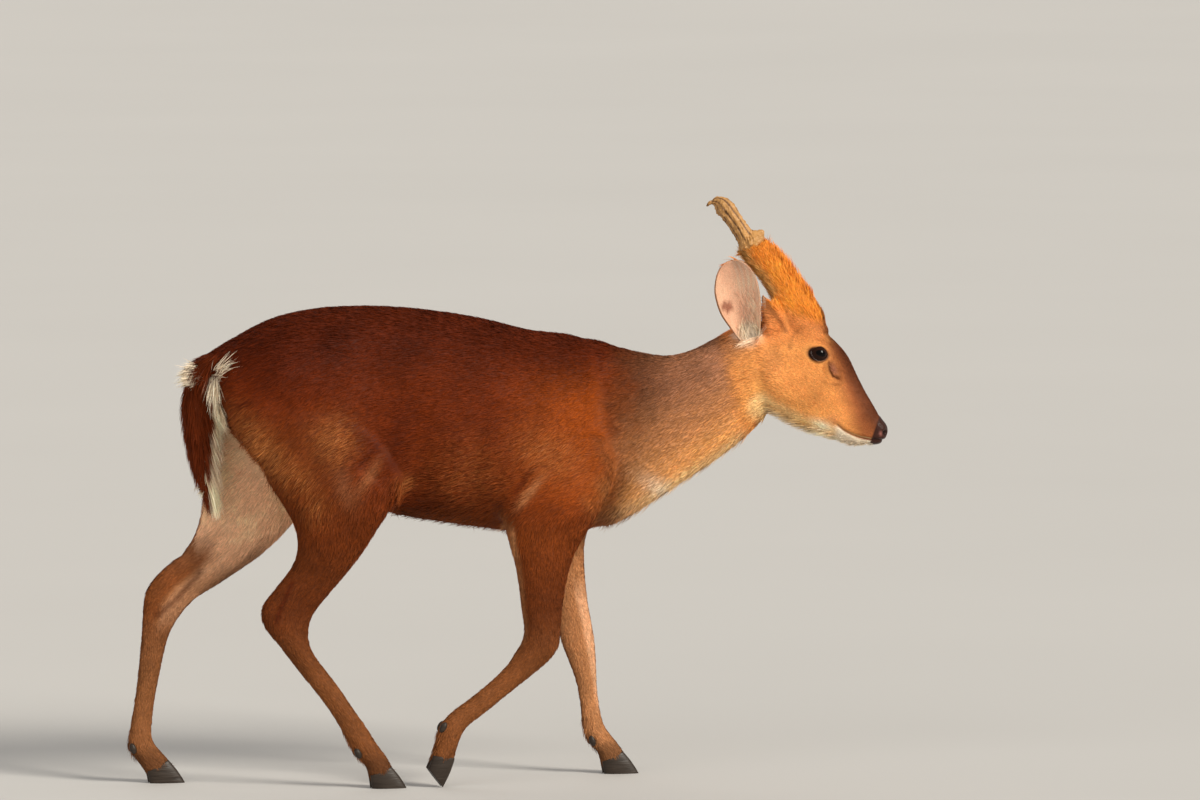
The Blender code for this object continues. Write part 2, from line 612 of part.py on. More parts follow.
def near_line(points, line):
    """Distance in side view from each point to a polyline."""
    nearest = np.full(len(points), 1.0)
    flat = points[:, [0, 2]]
    for a, b in zip(line, line[1:]):
        a, b = np.array(a), np.array(b)
        t = np.clip((flat - a) @ (b - a) / ((b - a) @ (b - a)), 0.0, 1.0)
        nearest = np.minimum(nearest, np.linalg.norm(flat - a - t[:, None] * (b - a), axis=1))
    return nearest


def face_height(points):
    """Folds of the face, in the head frame: mouth line, lips, gland fold, nostrils and nose pad."""
    height = np.zeros(len(points))
    front = ramp(points[:, 0], 0.098, 0.106)
    away = near_line(points, MOUTH_LINE)
    height -= front * MOUTH_DEPTH * np.exp(-((away / MOUTH_WIDTH) ** 2))
    height += front * LIP_SWELL * np.exp(-(((away - 0.0048) / 0.0030) ** 2))
    away = near_line(points, GLAND_LINE)
    outer = np.abs(points[:, 1]) > 0.012
    height -= outer * GLAND_DEPTH * np.exp(-((away / GLAND_WIDTH) ** 2))
    height += outer * GLAND_DEPTH * 0.45 * np.exp(-(((away - 0.0055) / 0.0030) ** 2))
    for side in (-1, 1):
        off = (points - np.array(sided(NOSTRIL_PLACE, side))) / np.array(NOSTRIL_RADII)
        height -= 0.0040 * np.exp(-(off**2).sum(axis=1) ** 1.5)
    return height


def lids(points, side):
    """Draws the skin round the eyeball into a socket with an upper and a lower lid."""
    centre = np.array(sided(EYE_PLACE, side))
    outward = np.array(sided(EYE_OUTWARD, side))
    slant = np.array((math.cos(EYE_SLANT), 0.0, math.sin(EYE_SLANT)))
    along = slant - outward * (slant @ outward)
    along /= np.linalg.norm(along)
    upward = np.cross(outward, along) * -side
    arm = points - centre
    reach = np.linalg.norm(arm, axis=1)
    a, b, out = arm @ along, arm @ upward, arm @ outward
    power = 1.5
    q = (np.abs(a / LID_LENGTH) ** power + np.abs(b / LID_HEIGHT) ** power) ** (1 / power)
    wall = EYE_RADIUS + LID_WALL * ramp(q, 0.90, 1.04) - 0.0020 * (1 - ramp(q, 0.86, 1.0))
    wall += 0.0006 * np.exp(-(((q - 1.12) / 0.10) ** 2)) - 0.0011 * np.exp(-(((q - 1.50) / 0.12) ** 2))
    share = (1 - ramp(q, 1.45, 2.15)) * ramp(out, -0.001, 0.003) * (reach < 0.034)
    drawn = centre + arm / np.maximum(reach, 1e-6)[:, None] * wall[:, None]
    return points + (drawn - points) * share[:, None]


def shape_flesh(flesh):
    """Reliefs of the body and head, then the lids."""
    points, normals = points_of(flesh.data), normals_of(flesh.data)
    local = in_head(points)
    height = np.zeros(len(points))
    for side in (-1, 1):
        height += relief(points, RELIEF, side)
        height += relief(local, HEAD_RELIEF, side) * (local[:, 0] > -0.05)
    height += relief(points, RELIEF_RIGHT, -1) + relief(points, RELIEF_LEFT, 1)
    face = local[:, 0] > 0.06
    height[face] += face_height(local[face])
    points = points + normals * height[:, None]
    local = in_head(points)
    face = (local[:, 0] > 0.03) & (local[:, 0] < 0.13) & (local[:, 2] > -0.06)
    for side in (-1, 1):
        local[face] = lids(local[face], side)
    turn = np.array(head_matrix().to_3x3())
    points[face] = local[face] @ turn.T + np.array(HEAD_PLACE)
    put_points(flesh.data, points)


def cleaned(item):
    """Closes up the shortest edges, which a cut leaves where it passes close to a point."""
    shape = bmesh.new()
    shape.from_mesh(item.data)
    bmesh.ops.dissolve_degenerate(shape, dist=SHORTEST_EDGE, edges=shape.edges)
    bmesh.ops.triangulate(shape, faces=shape.faces)
    shape.to_mesh(item.data)
    shape.free()


def thinned(item, triangles):
    """The item with about so many triangles."""
    cleaned(item)
    faces = sum(len(p.vertices) - 2 for p in item.data.polygons)
    thin = item.modifiers.new("thin", "DECIMATE")
    thin.ratio = min(1.0, triangles / faces)
    apply_modifiers(item)
    cleaned(item)


def build_flesh(where):
    flesh = joined(flesh_forms(where), "flesh", where)
    remeshed(flesh, FORM_VOXEL)
    smooth_by_place(flesh, FORM_SMOOTHING, form_share)
    remeshed(flesh, FINE_VOXEL)
    smooth_by_place(flesh, FINE_SMOOTHING, lambda points: np.ones(len(points)))
    shape_flesh(flesh)
    return flesh


def slab(name, centre, normal, along, half_along, half_across, where):
    """A thin plate across a form, as a cutter."""
    normal = Vector(normal).normalized()
    along = Vector(along).normalized()
    across = normal.cross(along)
    shape = bmesh.new()
    bmesh.ops.create_cube(shape, size=2.0)
    turn = Matrix((along, across, normal)).transposed().to_4x4()
    size = Matrix.Diagonal((half_along, half_across, GAP / 2, 1.0))
    bmesh.ops.transform(shape, matrix=Matrix.Translation(centre) @ turn @ size, verts=shape.verts)
    return mesh_object(name, shape, where)


def row_slab(name, row, where, reach=1.35, width=1.7):
    """A cut across a limb at one row of its table."""
    ax, az, bx, bz, y, half = row[:6]
    along = Vector((ax - bx, 0.0, az - bz))
    normal = along.cross(Vector((0.0, 1.0, 0.0)))
    middle = Vector(((ax + bx) / 2, y, (az + bz) / 2))
    return slab(name, middle, normal, along, along.length / 2 * reach, half * width, where)


def flesh_cutters(where):
    """Every thin cut."""
    made = []
    for name, rows in limb_tables().items():
        for index in LIMB_CUTS[name]:
            made.append(row_slab(f"cut_{name}_{index}", rows[index], where))
    made.append(row_slab("cut_neck_base", NECK_BASE, where, 1.25, 1.6))
    head = [row_slab("cut_head", HEAD_BACK, where, 1.25, 1.6)]
    across = NOSE_FACING.cross(Vector((0.0, 1.0, 0.0)))
    head.append(slab("cut_nose", NOSE_PLANE, NOSE_FACING, across, 0.026, 0.026, where))
    for side in (-1, 1):
        for end in (1, None):
            low = sided(PEDICLE_LINE[1], side) if end else antler_axis(side)[0]
            axis = pedicle_axis(side) if end else antler_axis(side)[1]
            flat = axis.cross(Vector((0.0, 1.0, 0.0)))
            head.append(slab("cut_pedicle", low, axis, flat, 0.040, 0.0215 if end else 0.030, where))
    axis = Vector((pedicle_axis(1).x, 0.0, pedicle_axis(1).z)).normalized()
    flat = axis.cross(Vector((0.0, 1.0, 0.0)))
    middle = Vector((PEDICLE_LINE[1][0], 0.0, PEDICLE_LINE[1][2])) + axis * 0.020
    head.append(slab("cut_between", middle, Vector((0.0, 1.0, 0.0)), flat, 0.040, 0.0205, where))
    for item in head:
        item.data.transform(head_matrix())
    return made + head


def pedicle_axis(side):
    return (sided(PEDICLE_LINE[2], side) - sided(PEDICLE_LINE[0], side)).normalized()


def antler_axis(side):
    """Where the antler's foot meets the pedicle, and the way it points there."""
    start, after = sided(ANTLER_LINE[0], side), sided(ANTLER_LINE[2], side)
    return start, (after - start).normalized()


def boolean(item, operation, others=None, one=None, solver="EXACT"):
    for cutter in [one] if one else others.objects:
        cutter.display_type = "WIRE"
    change = item.modifiers.new("boolean", "BOOLEAN")
    change.operation = operation
    change.solver = solver
    if one:
        change.object = one
    else:
        change.operand_type = "COLLECTION"
        change.collection = others
    apply_modifiers(item)


def bodies(item):
    """The loose closed surfaces of a mesh, each as an object."""
    bpy.ops.object.select_all(action="DESELECT")
    item.select_set(True)
    bpy.context.view_layer.objects.active = item
    bpy.ops.mesh.separate(type="LOOSE")
    return list(bpy.context.selected_objects)


def volume_of(item):
    shape = bmesh.new()
    shape.from_mesh(item.data)
    volume = shape.calc_volume()
    shape.free()
    return volume


def largest(item, name):
    """The largest closed surface of a mesh, under the given name."""
    pieces = sorted(bodies(item), key=volume_of)
    remove(pieces[:-1])
    pieces[-1].name = name
    return pieces[-1]


def seeds():
    """A place inside each flesh node."""
    found = {"torso": Vector((-0.1, 0.0, 0.5)), "neck": Vector((0.23, -0.012, 0.5))}
    place = head_matrix()
    found["head"] = place @ Vector((0.05, 0.0, -0.03))
    found["nose_pad"] = place @ (NOSE_PLANE + NOSE_FACING * 0.006)
    for side, word in SIDES:
        found["pedicle_" + word] = place @ sided(PEDICLE_LINE[3], side)
    for limb, rows in limb_tables().items():
        ends = LIMB_CUTS[limb]
        for piece, low, high in zip(LIMB_PIECES, ends, ends[1:]):
            a, b = np.array(rows[low]), np.array(rows[high])
            row = (a + b) / 2
            found[f"{limb}_{piece}"] = Vector(((row[0] + row[2]) / 2, row[4], (row[1] + row[3]) / 2))
    return found


def part_flesh(flesh, cutters):
    """The flesh cut into its named nodes. Scraps with no name are dropped."""
    boolean(flesh, "DIFFERENCE", others=cutters, solver="MANIFOLD")
    pieces = bodies(flesh)
    boxes = {p: (points_of(p.data).min(axis=0), points_of(p.data).max(axis=0)) for p in pieces}
    nodes = {}
    for name, seed in seeds().items():
        seed = np.array(seed)
        inside = [p for p in pieces if (seed > boxes[p][0]).all() and (seed < boxes[p][1]).all()]
        best = min(inside, key=lambda p: np.abs(boxes[p][0] + boxes[p][1] - 2 * seed).max())
        pieces.remove(best)
        best.name = name
        nodes[name] = best
    remove(pieces)
    return nodes


def cut_clear(item, name, node, where, solver="EXACT"):
    """What is left of an item outside a node made larger by the gap, as its largest piece."""
    mesh = node.data.copy()
    put_points(mesh, points_of(mesh) + normals_of(mesh) * GAP)
    cutter = bpy.data.objects.new("larger", mesh)
    where.objects.link(cutter)
    boolean(item, "DIFFERENCE", one=cutter, solver=solver)
    remove([cutter])
    return largest(item, name)


def ear_lobe(side, where, sides=12, steps=3):
    made = tube("ear_lobe", [sided(p, side) for p in EAR_LOBE], EAR_LOBE_HALF, where, sides, steps)
    made.data.transform(head_matrix())
    return made


def ear(side, where):
    """A rolled cup: an open surface given its wall with Solidify."""
    rows = [(*p, h, r, a) for p, h, r, a in zip(EAR_MIDDLE, EAR_HALF, EAR_RISE, EAR_ROLL)]
    shape = bmesh.new()
    lines = []
    for x, y, z, half, rise, roll in between(rows, EAR_STEPS):
        roll = math.radians(max(roll, 20.0))
        wide = math.sin(min(roll, math.pi / 2))
        line = []
        for v in np.linspace(-1, 1, EAR_SPANS + 1):
            across = EAR_ACROSS * (half * math.sin(v * roll) / wide)
            lift = rise * (1 - math.cos(v * roll)) / (1 - math.cos(roll))
            place = Vector((x, y + lift, z)) + across
            line.append(shape.verts.new(sided(place, side)))
        lines.append(line)
    for low, high in zip(lines, lines[1:]):
        for s in range(EAR_SPANS):
            shape.faces.new((low[s], low[s + 1], high[s + 1], high[s]))
    made = mesh_object("ear", shape, where)
    wall = made.modifiers.new("wall", "SOLIDIFY")
    wall.thickness = EAR_WALL
    wall.offset = 0.0
    wall.use_rim = True
    apply_modifiers(made)
    made.data.transform(head_matrix())
    return made


def burr_and_ridges(side):
    """How far the antler's outline stands in or out at each turn and share of its length."""

    def scale(turn, share):
        ridges = 1 + ANTLER_RIDGE * np.cos(turn * ANTLER_RIDGES + 5 * share) * ramp(np.array(share), 0.2, 0.3)
        nubs = 1 + 0.13 * np.cos(turn * BURR_NUBS + side) * (1 - ramp(np.array(share), 0.12, 0.24))
        return ridges * nubs

    return scale


def antler(side, name, where):
    line = [sided(p, side) for p in ANTLER_LINE]
    radii = [(r, r) for r in ANTLER_RADII]
    made = tube(name, line, radii, where, ANTLER_SIDES, ANTLER_STEPS, burr_and_ridges(side))
    start, axis = antler_axis(side)
    shape = bmesh.new()
    shape.from_mesh(made.data)
    flat = start + axis * GAP
    whole = shape.verts[:] + shape.edges[:] + shape.faces[:]
    cut = bmesh.ops.bisect_plane(shape, geom=whole, plane_co=flat, plane_no=axis, clear_inner=True)
    rim = [e for e in cut["geom_cut"] if isinstance(e, bmesh.types.BMEdge)]
    if rim:
        bmesh.ops.contextual_create(shape, geom=rim)
    shape.transform(head_matrix())
    remove([made])
    return mesh_object(name, shape, where)


def claws(limb, rows, where):
    """The two halves of a cloven hoof, from the coronet to the sole."""
    top = rows[LIMB_CUTS[limb][-1]]
    (toe_x, toe_z), (heel_x, heel_z) = SOLES[limb]
    front, rear = Vector((top[0], 0.0, top[1])), Vector((top[2], 0.0, top[3]))
    inward = (front - rear).cross(Vector((0.0, 1.0, 0.0))).normalized()
    if inward.z > 0:
        inward.negate()
    front, rear = front.lerp(rear, 0.04) + inward * GAP, rear.lerp(front, 0.06) + inward * GAP
    toe, heel = Vector((toe_x, 0.0, toe_z)), Vector((heel_x, 0.0, heel_z))
    made = []
    for side, word in SIDES:
        rings = []
        for share, half, bulge in CLAW_LEVELS:
            a, b = front.lerp(toe, share), rear.lerp(heel, share)
            a = a + (a - b).normalized() * bulge
            row = (a.x, a.z, b.x, b.z, top[4] + side * CLAW_OFFSET, CLAW_HALF * half, 0.36, 1.9)
            rings.append(section(row, 14))
        made.append(skin_rings(f"{limb}_claw_{word}", rings, where))
    return made


def dewclaws(limb, rows, where):
    """Two small side hooves behind the fetlock."""
    row = rows[LIMB_CUTS[limb][2] + 1]
    front, rear = Vector((row[0], row[4], row[1])), Vector((row[2], row[4], row[3]))
    back = (rear - front).normalized()
    lean = math.atan2(back.x, -back.z)
    made = []
    for side, word in SIDES:
        centre = rear + Vector((0.0, side * DEWCLAW_OFFSET, 0.0)) - back * DEWCLAW_SINK
        turn = Matrix.Rotation(-lean - math.pi / 2, 4, "Y")
        made.append(ball(f"{limb}_dewclaw_{word}", centre, DEWCLAW_RADII, where, 10, 6, turn))
    return made


def lock(root, tip, bend, half, where, name="lock"):
    """A flat tapered lock from root to tip, bowed by bend."""
    root, tip, bend = Vector(root), Vector(tip), Vector(bend)
    along = (tip - root).normalized()
    flat = along.cross(bend if bend.length > 0 else Vector((1, 0, 0))).normalized()
    thick = flat.cross(along)
    rings = []
    for share, wide, tall in ((0.0, 0.7, 1.0), (0.3, 1.0, 1.0), (0.65, 0.75, 0.8), (1.0, 0.12, 0.3)):
        centre = root.lerp(tip, share) + bend * math.sin(math.pi * share * 0.8)
        turn = np.linspace(0, 2 * math.pi, 6, endpoint=False)
        rings.append(
            [centre + flat * half * wide * math.cos(t) + thick * LOCK_WALL * tall * math.sin(t) for t in turn]
        )
    return skin_rings(name, rings, where)


def tail_node(torso, where, helpers):
    """A flattened core with its white fringe as locks along both edges and at the tip."""
    core = loft("tail", TAIL, where, 16, 2)
    rows = between(TAIL, 10)
    for side, _ in SIDES:
        for n in range(FRINGE_PAIRS):
            row = rows[9 + n * (len(rows) - 24) // (FRINGE_PAIRS - 1)]
            edge = Vector((row[2], row[4] + side * row[5] * 0.72, row[3]))
            reach = FRINGE_LENGTH * (0.84 + 0.16 * math.sin(2.3 * n + side))
            root = edge + Vector((-0.003, -side * 0.005, 0.004))
            tip = edge + Vector((0.005 + 0.002 * math.cos(n), side * 0.006, -reach))
            lock(root, tip, Vector((0.0, side * 0.004, 0.0)), LOCK_HALF, helpers)
    low = rows[-11]
    end = Vector(((low[0] + low[2]) / 2, 0.0, (low[1] + low[3]) / 2))
    for n in range(TIP_LOCKS):
        turn = 2 * math.pi * n / TIP_LOCKS
        out = Vector((0.005 * math.cos(turn), 0.010 * math.sin(turn), 0.0))
        reach = TIP_LENGTH * (0.88 + 0.12 * math.cos(3 * turn))
        tip = end + out * 0.9 - Vector((0.0, 0.0, reach))
        lock(end + out * 0.4, tip, out * 0.3, LOCK_HALF * 0.7, helpers)
    lock(*ROOT_TUFT, Vector((0.0, 0.0, 0.003)), LOCK_HALF * 1.6, helpers)
    boolean(core, "UNION", others=helpers)
    remove(list(helpers.objects))
    return cut_clear(core, "tail", torso, where, "MANIFOLD")


def floor_cut(item):
    """Nothing reaches below the floor: a flat at z = 0 closes the solid there."""
    shape = bmesh.new()
    shape.from_mesh(item.data)
    if min(v.co.z for v in shape.verts) < -1e-6:
        geometry = shape.verts[:] + shape.edges[:] + shape.faces[:]
        cut = bmesh.ops.bisect_plane(
            shape, geom=geometry, plane_co=(0, 0, 0), plane_no=(0, 0, -1), clear_outer=True
        )
        rim = [e for e in cut["geom_cut"] if isinstance(e, bmesh.types.BMEdge)]
        bmesh.ops.contextual_create(shape, geom=rim)
    bmesh.ops.recalc_face_normals(shape, faces=shape.faces)
    shape.to_mesh(item.data)
    shape.free()


def kind_of(name):
    """Which material a node takes."""
    if "claw" in name:
        return "hoof"
    if name == "nose_pad":
        return name
    first = name.split("_")[0]
    return "leg" if first in ("hind", "fore") else first


def colour_nodes(nodes):
    kinds = {
        "torso": (RED_BROWN, 0.75),
        "neck": (GREY_BROWN, 0.75),
        "head": (HEAD_BROWN, 0.75),
        "nose_pad": (NOSE_BLACK, 0.35),
        "pedicle": (ORANGE, 0.8),
        "ear": (EAR_PINK, 0.7),
        "eye": (EYE_BLACK, 0.08),
        "antler": (HORN_BROWN, 0.55),
        "tail": (RED_BROWN, 0.8),
        "hoof": (HOOF_BLACK, 0.45),
        "leg": (LEG_BROWN, 0.75),
    }
    made = {name: principled(name, colour, rough) for name, (colour, rough) in kinds.items()}
    for name, item in nodes.items():
        item.data.materials.clear()
        item.data.materials.append(made[kind_of(name)])


def build():
    clear_scene()
    parts = collection("muntjac")
    helpers = collection("cutters", hidden=True)
    flesh = build_flesh(parts)
    flesh_cutters(helpers)
    nodes = part_flesh(flesh, helpers)
    remove(list(helpers.objects))
    for name, node in nodes.items():
        thinned(node, TRIANGLES.get(name, TRIANGLES.get(name.split("_")[-1], 200)))
    nodes["tail"] = tail_node(nodes["torso"], parts, helpers)
    for side, word in SIDES:
        radii = (EYE_RADIUS + GAP,) * 3
        socket = ball("socket", sided(EYE_PLACE, side), radii, helpers, EYE_SEGMENTS, EYE_RINGS)
        socket.data.transform(head_matrix())
        nodes["antler_" + word] = antler(side, "antler_" + word, parts)
        eye = ball("eye_" + word, sided(EYE_PLACE, side), (EYE_RADIUS,) * 3, parts, EYE_SEGMENTS, EYE_RINGS)
        eye.data.transform(head_matrix())
        nodes[eye.name] = eye
    boolean(nodes["head"], "DIFFERENCE", others=helpers)
    remove(list(helpers.objects))
    nodes["head"] = largest(nodes["head"], "head")
    for side, word in SIDES:
        item = ear(side, parts)
        ear_lobe(side, helpers)
        boolean(item, "UNION", others=helpers)
        remove(list(helpers.objects))
        item = cut_clear(item, "ear_" + word, nodes["pedicle_" + word], helpers)
        nodes["ear_" + word] = cut_clear(item, "ear_" + word, nodes["head"], helpers)
    for limb, rows in limb_tables().items():
        for item in dewclaws(limb, rows, parts):
            name = item.name
            nodes[name] = cut_clear(item, name, nodes[limb + "_foot"], helpers)
        for item in claws(limb, rows, parts):
            floor_cut(item)
            nodes[item.name] = item
    for item in nodes.values():
        item.data.transform(Matrix.Translation(-BOX_MIDDLE))
    colour_nodes(nodes)


build()
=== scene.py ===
"""Looks of the adult male Indian muntjac, a still life-size model in a walking stance.

The flesh is modelled again from the solids' own forms, much finer and inside the coat's depth, as one skin.
The coat is thin solid tufts over it. Eyes, antlers and hooves stay pieces of their own.
Metres, +Z up, nose towards +X, the animal's right side towards -Y.
"""

import json
import math

import bmesh
import bpy
import numpy as np
from mathutils import Matrix, Vector

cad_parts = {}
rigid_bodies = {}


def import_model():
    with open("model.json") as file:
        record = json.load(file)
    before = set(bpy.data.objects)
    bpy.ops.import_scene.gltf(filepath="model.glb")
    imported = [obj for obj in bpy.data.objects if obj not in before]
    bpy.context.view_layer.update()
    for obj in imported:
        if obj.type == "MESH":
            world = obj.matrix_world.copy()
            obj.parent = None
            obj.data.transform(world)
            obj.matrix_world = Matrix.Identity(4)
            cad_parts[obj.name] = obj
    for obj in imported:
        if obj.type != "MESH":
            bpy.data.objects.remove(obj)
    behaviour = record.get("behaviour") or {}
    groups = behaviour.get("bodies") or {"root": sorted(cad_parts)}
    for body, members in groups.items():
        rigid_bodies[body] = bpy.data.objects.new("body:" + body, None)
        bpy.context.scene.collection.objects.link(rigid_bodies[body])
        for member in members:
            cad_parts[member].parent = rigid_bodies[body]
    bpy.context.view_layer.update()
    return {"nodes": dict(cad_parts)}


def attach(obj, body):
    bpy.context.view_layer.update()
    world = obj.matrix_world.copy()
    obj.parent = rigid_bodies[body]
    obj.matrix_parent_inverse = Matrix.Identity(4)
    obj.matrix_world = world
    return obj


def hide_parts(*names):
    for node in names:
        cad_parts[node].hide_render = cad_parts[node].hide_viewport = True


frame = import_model()

# The coat: how deep it lies over the skin, and how many tufts it has
BODY_DEPTH = 0.0026
LEG_DEPTH = 0.0012
FACE_DEPTH = 0.0009
PEDICLE_DEPTH = 0.0048
SHORT_TUFTS = 430000
LONG_TUFTS = 26000
TRIANGLES_IN_PIECE = 186000
SKIN_TRIANGLES = 188000
SEED = 7
PATCH = 0.003

# Fineness of the ears, antlers, eyes and hooves
LID_WALL = 0.0013
EAR_WALL = 0.0016
EAR_STEPS = 10
EAR_SPANS = 30
ANTLER_RADII = (0.0160, 0.0168, 0.0116, 0.0105, 0.0106, 0.0114, 0.0090, 0.0034, 0.0010)
ANTLER_SIDES = 120
ANTLER_STEPS = 14
ANTLER_RIDGE = 0.07
BURR_NUBS = 14
CLAW_LEVELS = (
    (-0.10, 0.74, -0.0010),
    (0.0, 0.84, 0.0),
    (0.15, 0.90, 0.0006),
    (0.35, 0.96, 0.0012),
    (0.55, 0.99, 0.0012),
    (0.75, 1.0, 0.0010),
    (0.92, 1.0, 0.0004),
    (1.0, 0.97, 0.0),
)
DEWCLAW_RADII = (0.0044, 0.0036, 0.0076)
MOUTH_DEPTH = 0.0015
NOSTRIL_RADII = Vector((0.0052, 0.0046, 0.0034))
# The hollow in the antler's broken top, painted dark as shade in it too, in the head frame for the left side
ANTLER_HOLLOW = (-0.0525, 0.0440, 0.2190)

# Colours of coat and bare parts
# Dark red of the back, also used for painted shade in creases, grooves and under the body
BACK_AND_SHADE = (0.075, 0.0100, 0.0018)
CHESTNUT = (0.140, 0.0210, 0.0028)
SHOULDER = (0.300, 0.0580, 0.0060)
THIGH = (0.165, 0.0340, 0.0060)
# Dark brown of the neck's base, also used for a painted shadow on the chest
NECK_DARK_AND_SHADE = (0.105, 0.0280, 0.0070)
NECK_GREY = (0.390, 0.1650, 0.0800)
NECK_LIGHT = (0.560, 0.2300, 0.0750)
OCHRE = (0.800, 0.3600, 0.1000)
CREAM = (0.920, 0.6200, 0.2800)
WHITE = (0.930, 0.7800, 0.5900)
CHEEK = (0.850, 0.3500, 0.0950)
BROW = (0.800, 0.2900, 0.0780)
PEDICLE = (0.900, 0.3250, 0.0420)
PEDICLE_REAR = (0.800, 0.4500, 0.1400)
PEDICLE_DARK = (0.230, 0.0750, 0.0200)
# Dark brown of the nose bridge, also used for painted shade in the face's creases and round the eyes
BRIDGE_AND_SHADE = (0.120, 0.0320, 0.0120)
MUZZLE = (0.420, 0.1300, 0.0420)
LEG = (0.140, 0.0330, 0.0075)
LEG_INSIDE = (0.560, 0.2500, 0.1000)
THIGH_INSIDE = (0.985, 0.5900, 0.3500)
GASKIN_REAR = (0.240, 0.0660, 0.0150)
FETLOCK = (0.260, 0.0950, 0.0300)
FOOT_DARK = (0.110, 0.0420, 0.0160)
BELLY = (0.110, 0.0300, 0.0080)
# Brown of the tail, also used for the painted shadow beside the tail on the thigh
TAIL_BROWN_AND_SHADE = (0.135, 0.0220, 0.0042)
EAR_INSIDE = (0.900, 0.5300, 0.3500)
EAR_SHADE = (0.300, 0.1000, 0.0550)
EAR_OUTSIDE = (0.480, 0.2000, 0.0800)
EYE_RIM = (0.020, 0.0080, 0.0055)
NOSE_SKIN = (0.040, 0.0150, 0.0110)
LIP_SKIN = (0.140, 0.0600, 0.0450)
TAIL_WHITE = (0.980, 0.7900, 0.5700)
# Pink of the gland fold, also used for a painted highlight at the nostrils
CARUNCLE_AND_HIGHLIGHT = (0.450, 0.1700, 0.1400)
EYE_BROWN = (0.010, 0.0035, 0.0018)
# Near black of the pupil, also used for painted shade inside the nostrils
PUPIL_AND_SHADE = (0.0020, 0.0015, 0.0015)
HORN = (0.560, 0.2900, 0.0950)
HORN_DARK = (0.080, 0.0320, 0.0120)
GREY_STREAK = (0.260, 0.1100, 0.0500)
SHINE = (0.440, 0.1550, 0.0420)
HOOF = (0.020, 0.0145, 0.0110)
FLOOR = (0.560, 0.5550, 0.5450)

# Streaky paler places of the coat in side view, pale hair with painted sheen: middle, reach, lean in degrees, share
STREAKS = (
    ((-0.340, 0.462), (0.018, 0.055), 38.0, 0.80),
    ((-0.300, 0.430), (0.016, 0.040), 38.0, 0.50),
    ((-0.248, 0.475), (0.030, 0.030), 0.0, 0.50),
    ((-0.279, 0.385), (0.018, 0.022), 0.0, 0.45),
    ((-0.150, 0.412), (0.016, 0.012), 0.0, 0.60),
    ((-0.060, 0.420), (0.060, 0.050), 0.0, 0.22),
    ((0.045, 0.450), (0.050, 0.030), -20.0, 0.40),
)
# Painted shade along the creases of the body in side view
CREASE_SHADOWS = (
    ((-0.221, 0.437), (-0.207, 0.449), (-0.1935, 0.4635)),
    ((-0.377, 0.520), (-0.3634, 0.525)),
    ((-0.306, 0.284), (-0.318, 0.258), (-0.330, 0.231)),
    ((0.000, 0.400), (0.022, 0.432)),
    ((-0.229, 0.494), (-0.1915, 0.461), (-0.1695, 0.431)),
    ((0.128, 0.575), (0.131, 0.553), (0.138, 0.473)),
)
# Painted shade along creases of the face, in the head frame: below the gland and behind the eye
FACE_CREASE_SHADOWS = (
    ((0.086, -0.030), (0.096, -0.034), (0.107, -0.033)),
    ((0.044, 0.024), (0.048, 0.034), (0.060, 0.044)),
)
# Painted shade along the groove on the inner side of the far gaskin
GASKIN_GROOVE_SHADE = ((-0.470, 0.232), (-0.449, 0.246), (-0.4316, 0.262), (-0.409, 0.288))
ELBOW_LINE = ((-0.0090, 0.354), (-0.0070, 0.335), (-0.0050, 0.316))
# Lines that the markings follow: the neck's lower and upper outline, in world places
NECK_UNDER = ((0.138, 0.342), (0.185, 0.364), (0.235, 0.396), (0.276, 0.423), (0.311, 0.450), (0.338, 0.476), (0.372, 0.500))
NECK_OVER = ((0.080, 0.601), (0.125, 0.596), (0.193, 0.577), (0.224, 0.575), (0.252, 0.583), (0.276, 0.595), (0.302, 0.610))
# The same on the head, in its own frame: jaw, mouth, nose bridge and the front edge of the pedicle
JAW_LINE = ((0.004, -0.062), (0.016, -0.071), (0.036, -0.082), (0.058, -0.093), (0.078, -0.099), (0.094, -0.104), (0.117, -0.113), (0.150, -0.114))
BRIDGE_LINE = ((0.098, 0.034), (0.119, 0.006), (0.131, -0.018), (0.142, -0.040), (0.153, -0.059), (0.164, -0.080))
PEDICLE_FRONT = ((0.095, 0.036), (0.092, 0.050), (0.085, 0.070))

FORM_VOXEL = 0.004
FORM_SMOOTHING = 16
FINE_VOXEL = 0.0017
FINE_SMOOTHING = 4
SHORTEST_EDGE = 0.00006
SIDES = ((-1, "right"), (1, "left"))
# The middle of the whole model's box, so that the origin lies under it
BOX_MIDDLE = Vector((0.0005, -0.0047, 0.0))
# Head frame: x forward on the level, y to the animal's left, z up
HEAD_PLACE = Vector((0.3418, -0.024, 0.5651))
HEAD_YAW = math.radians(-11.0)
HEAD_ROLL = math.radians(-4.5)
# Eye, in the head frame for the left side, and the opening between the lids
EYE_PLACE = Vector((0.0780, 0.0320, 0.0080))
EYE_RADIUS = 0.0128
EYE_OUTWARD = Vector((0.30, 0.94, 0.10)).normalized()
EYE_SLANT = math.radians(-12.0)
LID_LENGTH = 0.0109
LID_HEIGHT = 0.0077
# Mouth line from its corner forward, seen from the side, and the lip that swells beside it
MOUTH_LINE = (
    (0.104, -0.0870),
    (0.113, -0.0940),
    (0.124, -0.1000),
    (0.136, -0.1045),
    (0.150, -0.1070),
    (0.176, -0.1085),
)
MOUTH_WIDTH = 0.0016
LIP_SWELL = 0.0008
# Gland fold below the front corner of the eye
GLAND_LINE = ((0.0930, -0.0040), (0.0945, -0.0140), (0.0985, -0.0215), (0.1060, -0.0255))
GLAND_DEPTH = 0.0026
GLAND_WIDTH = 0.0020
# Nose pad: the plane that parts it from the muzzle, and the nostrils
NOSE_PLANE = Vector((0.1560, 0.0, -0.0900))
NOSE_FACING = Vector((0.94, 0.0, -0.34)).normalized()
NOSTRIL_PLACE = Vector((0.1680, 0.0090, -0.0975))
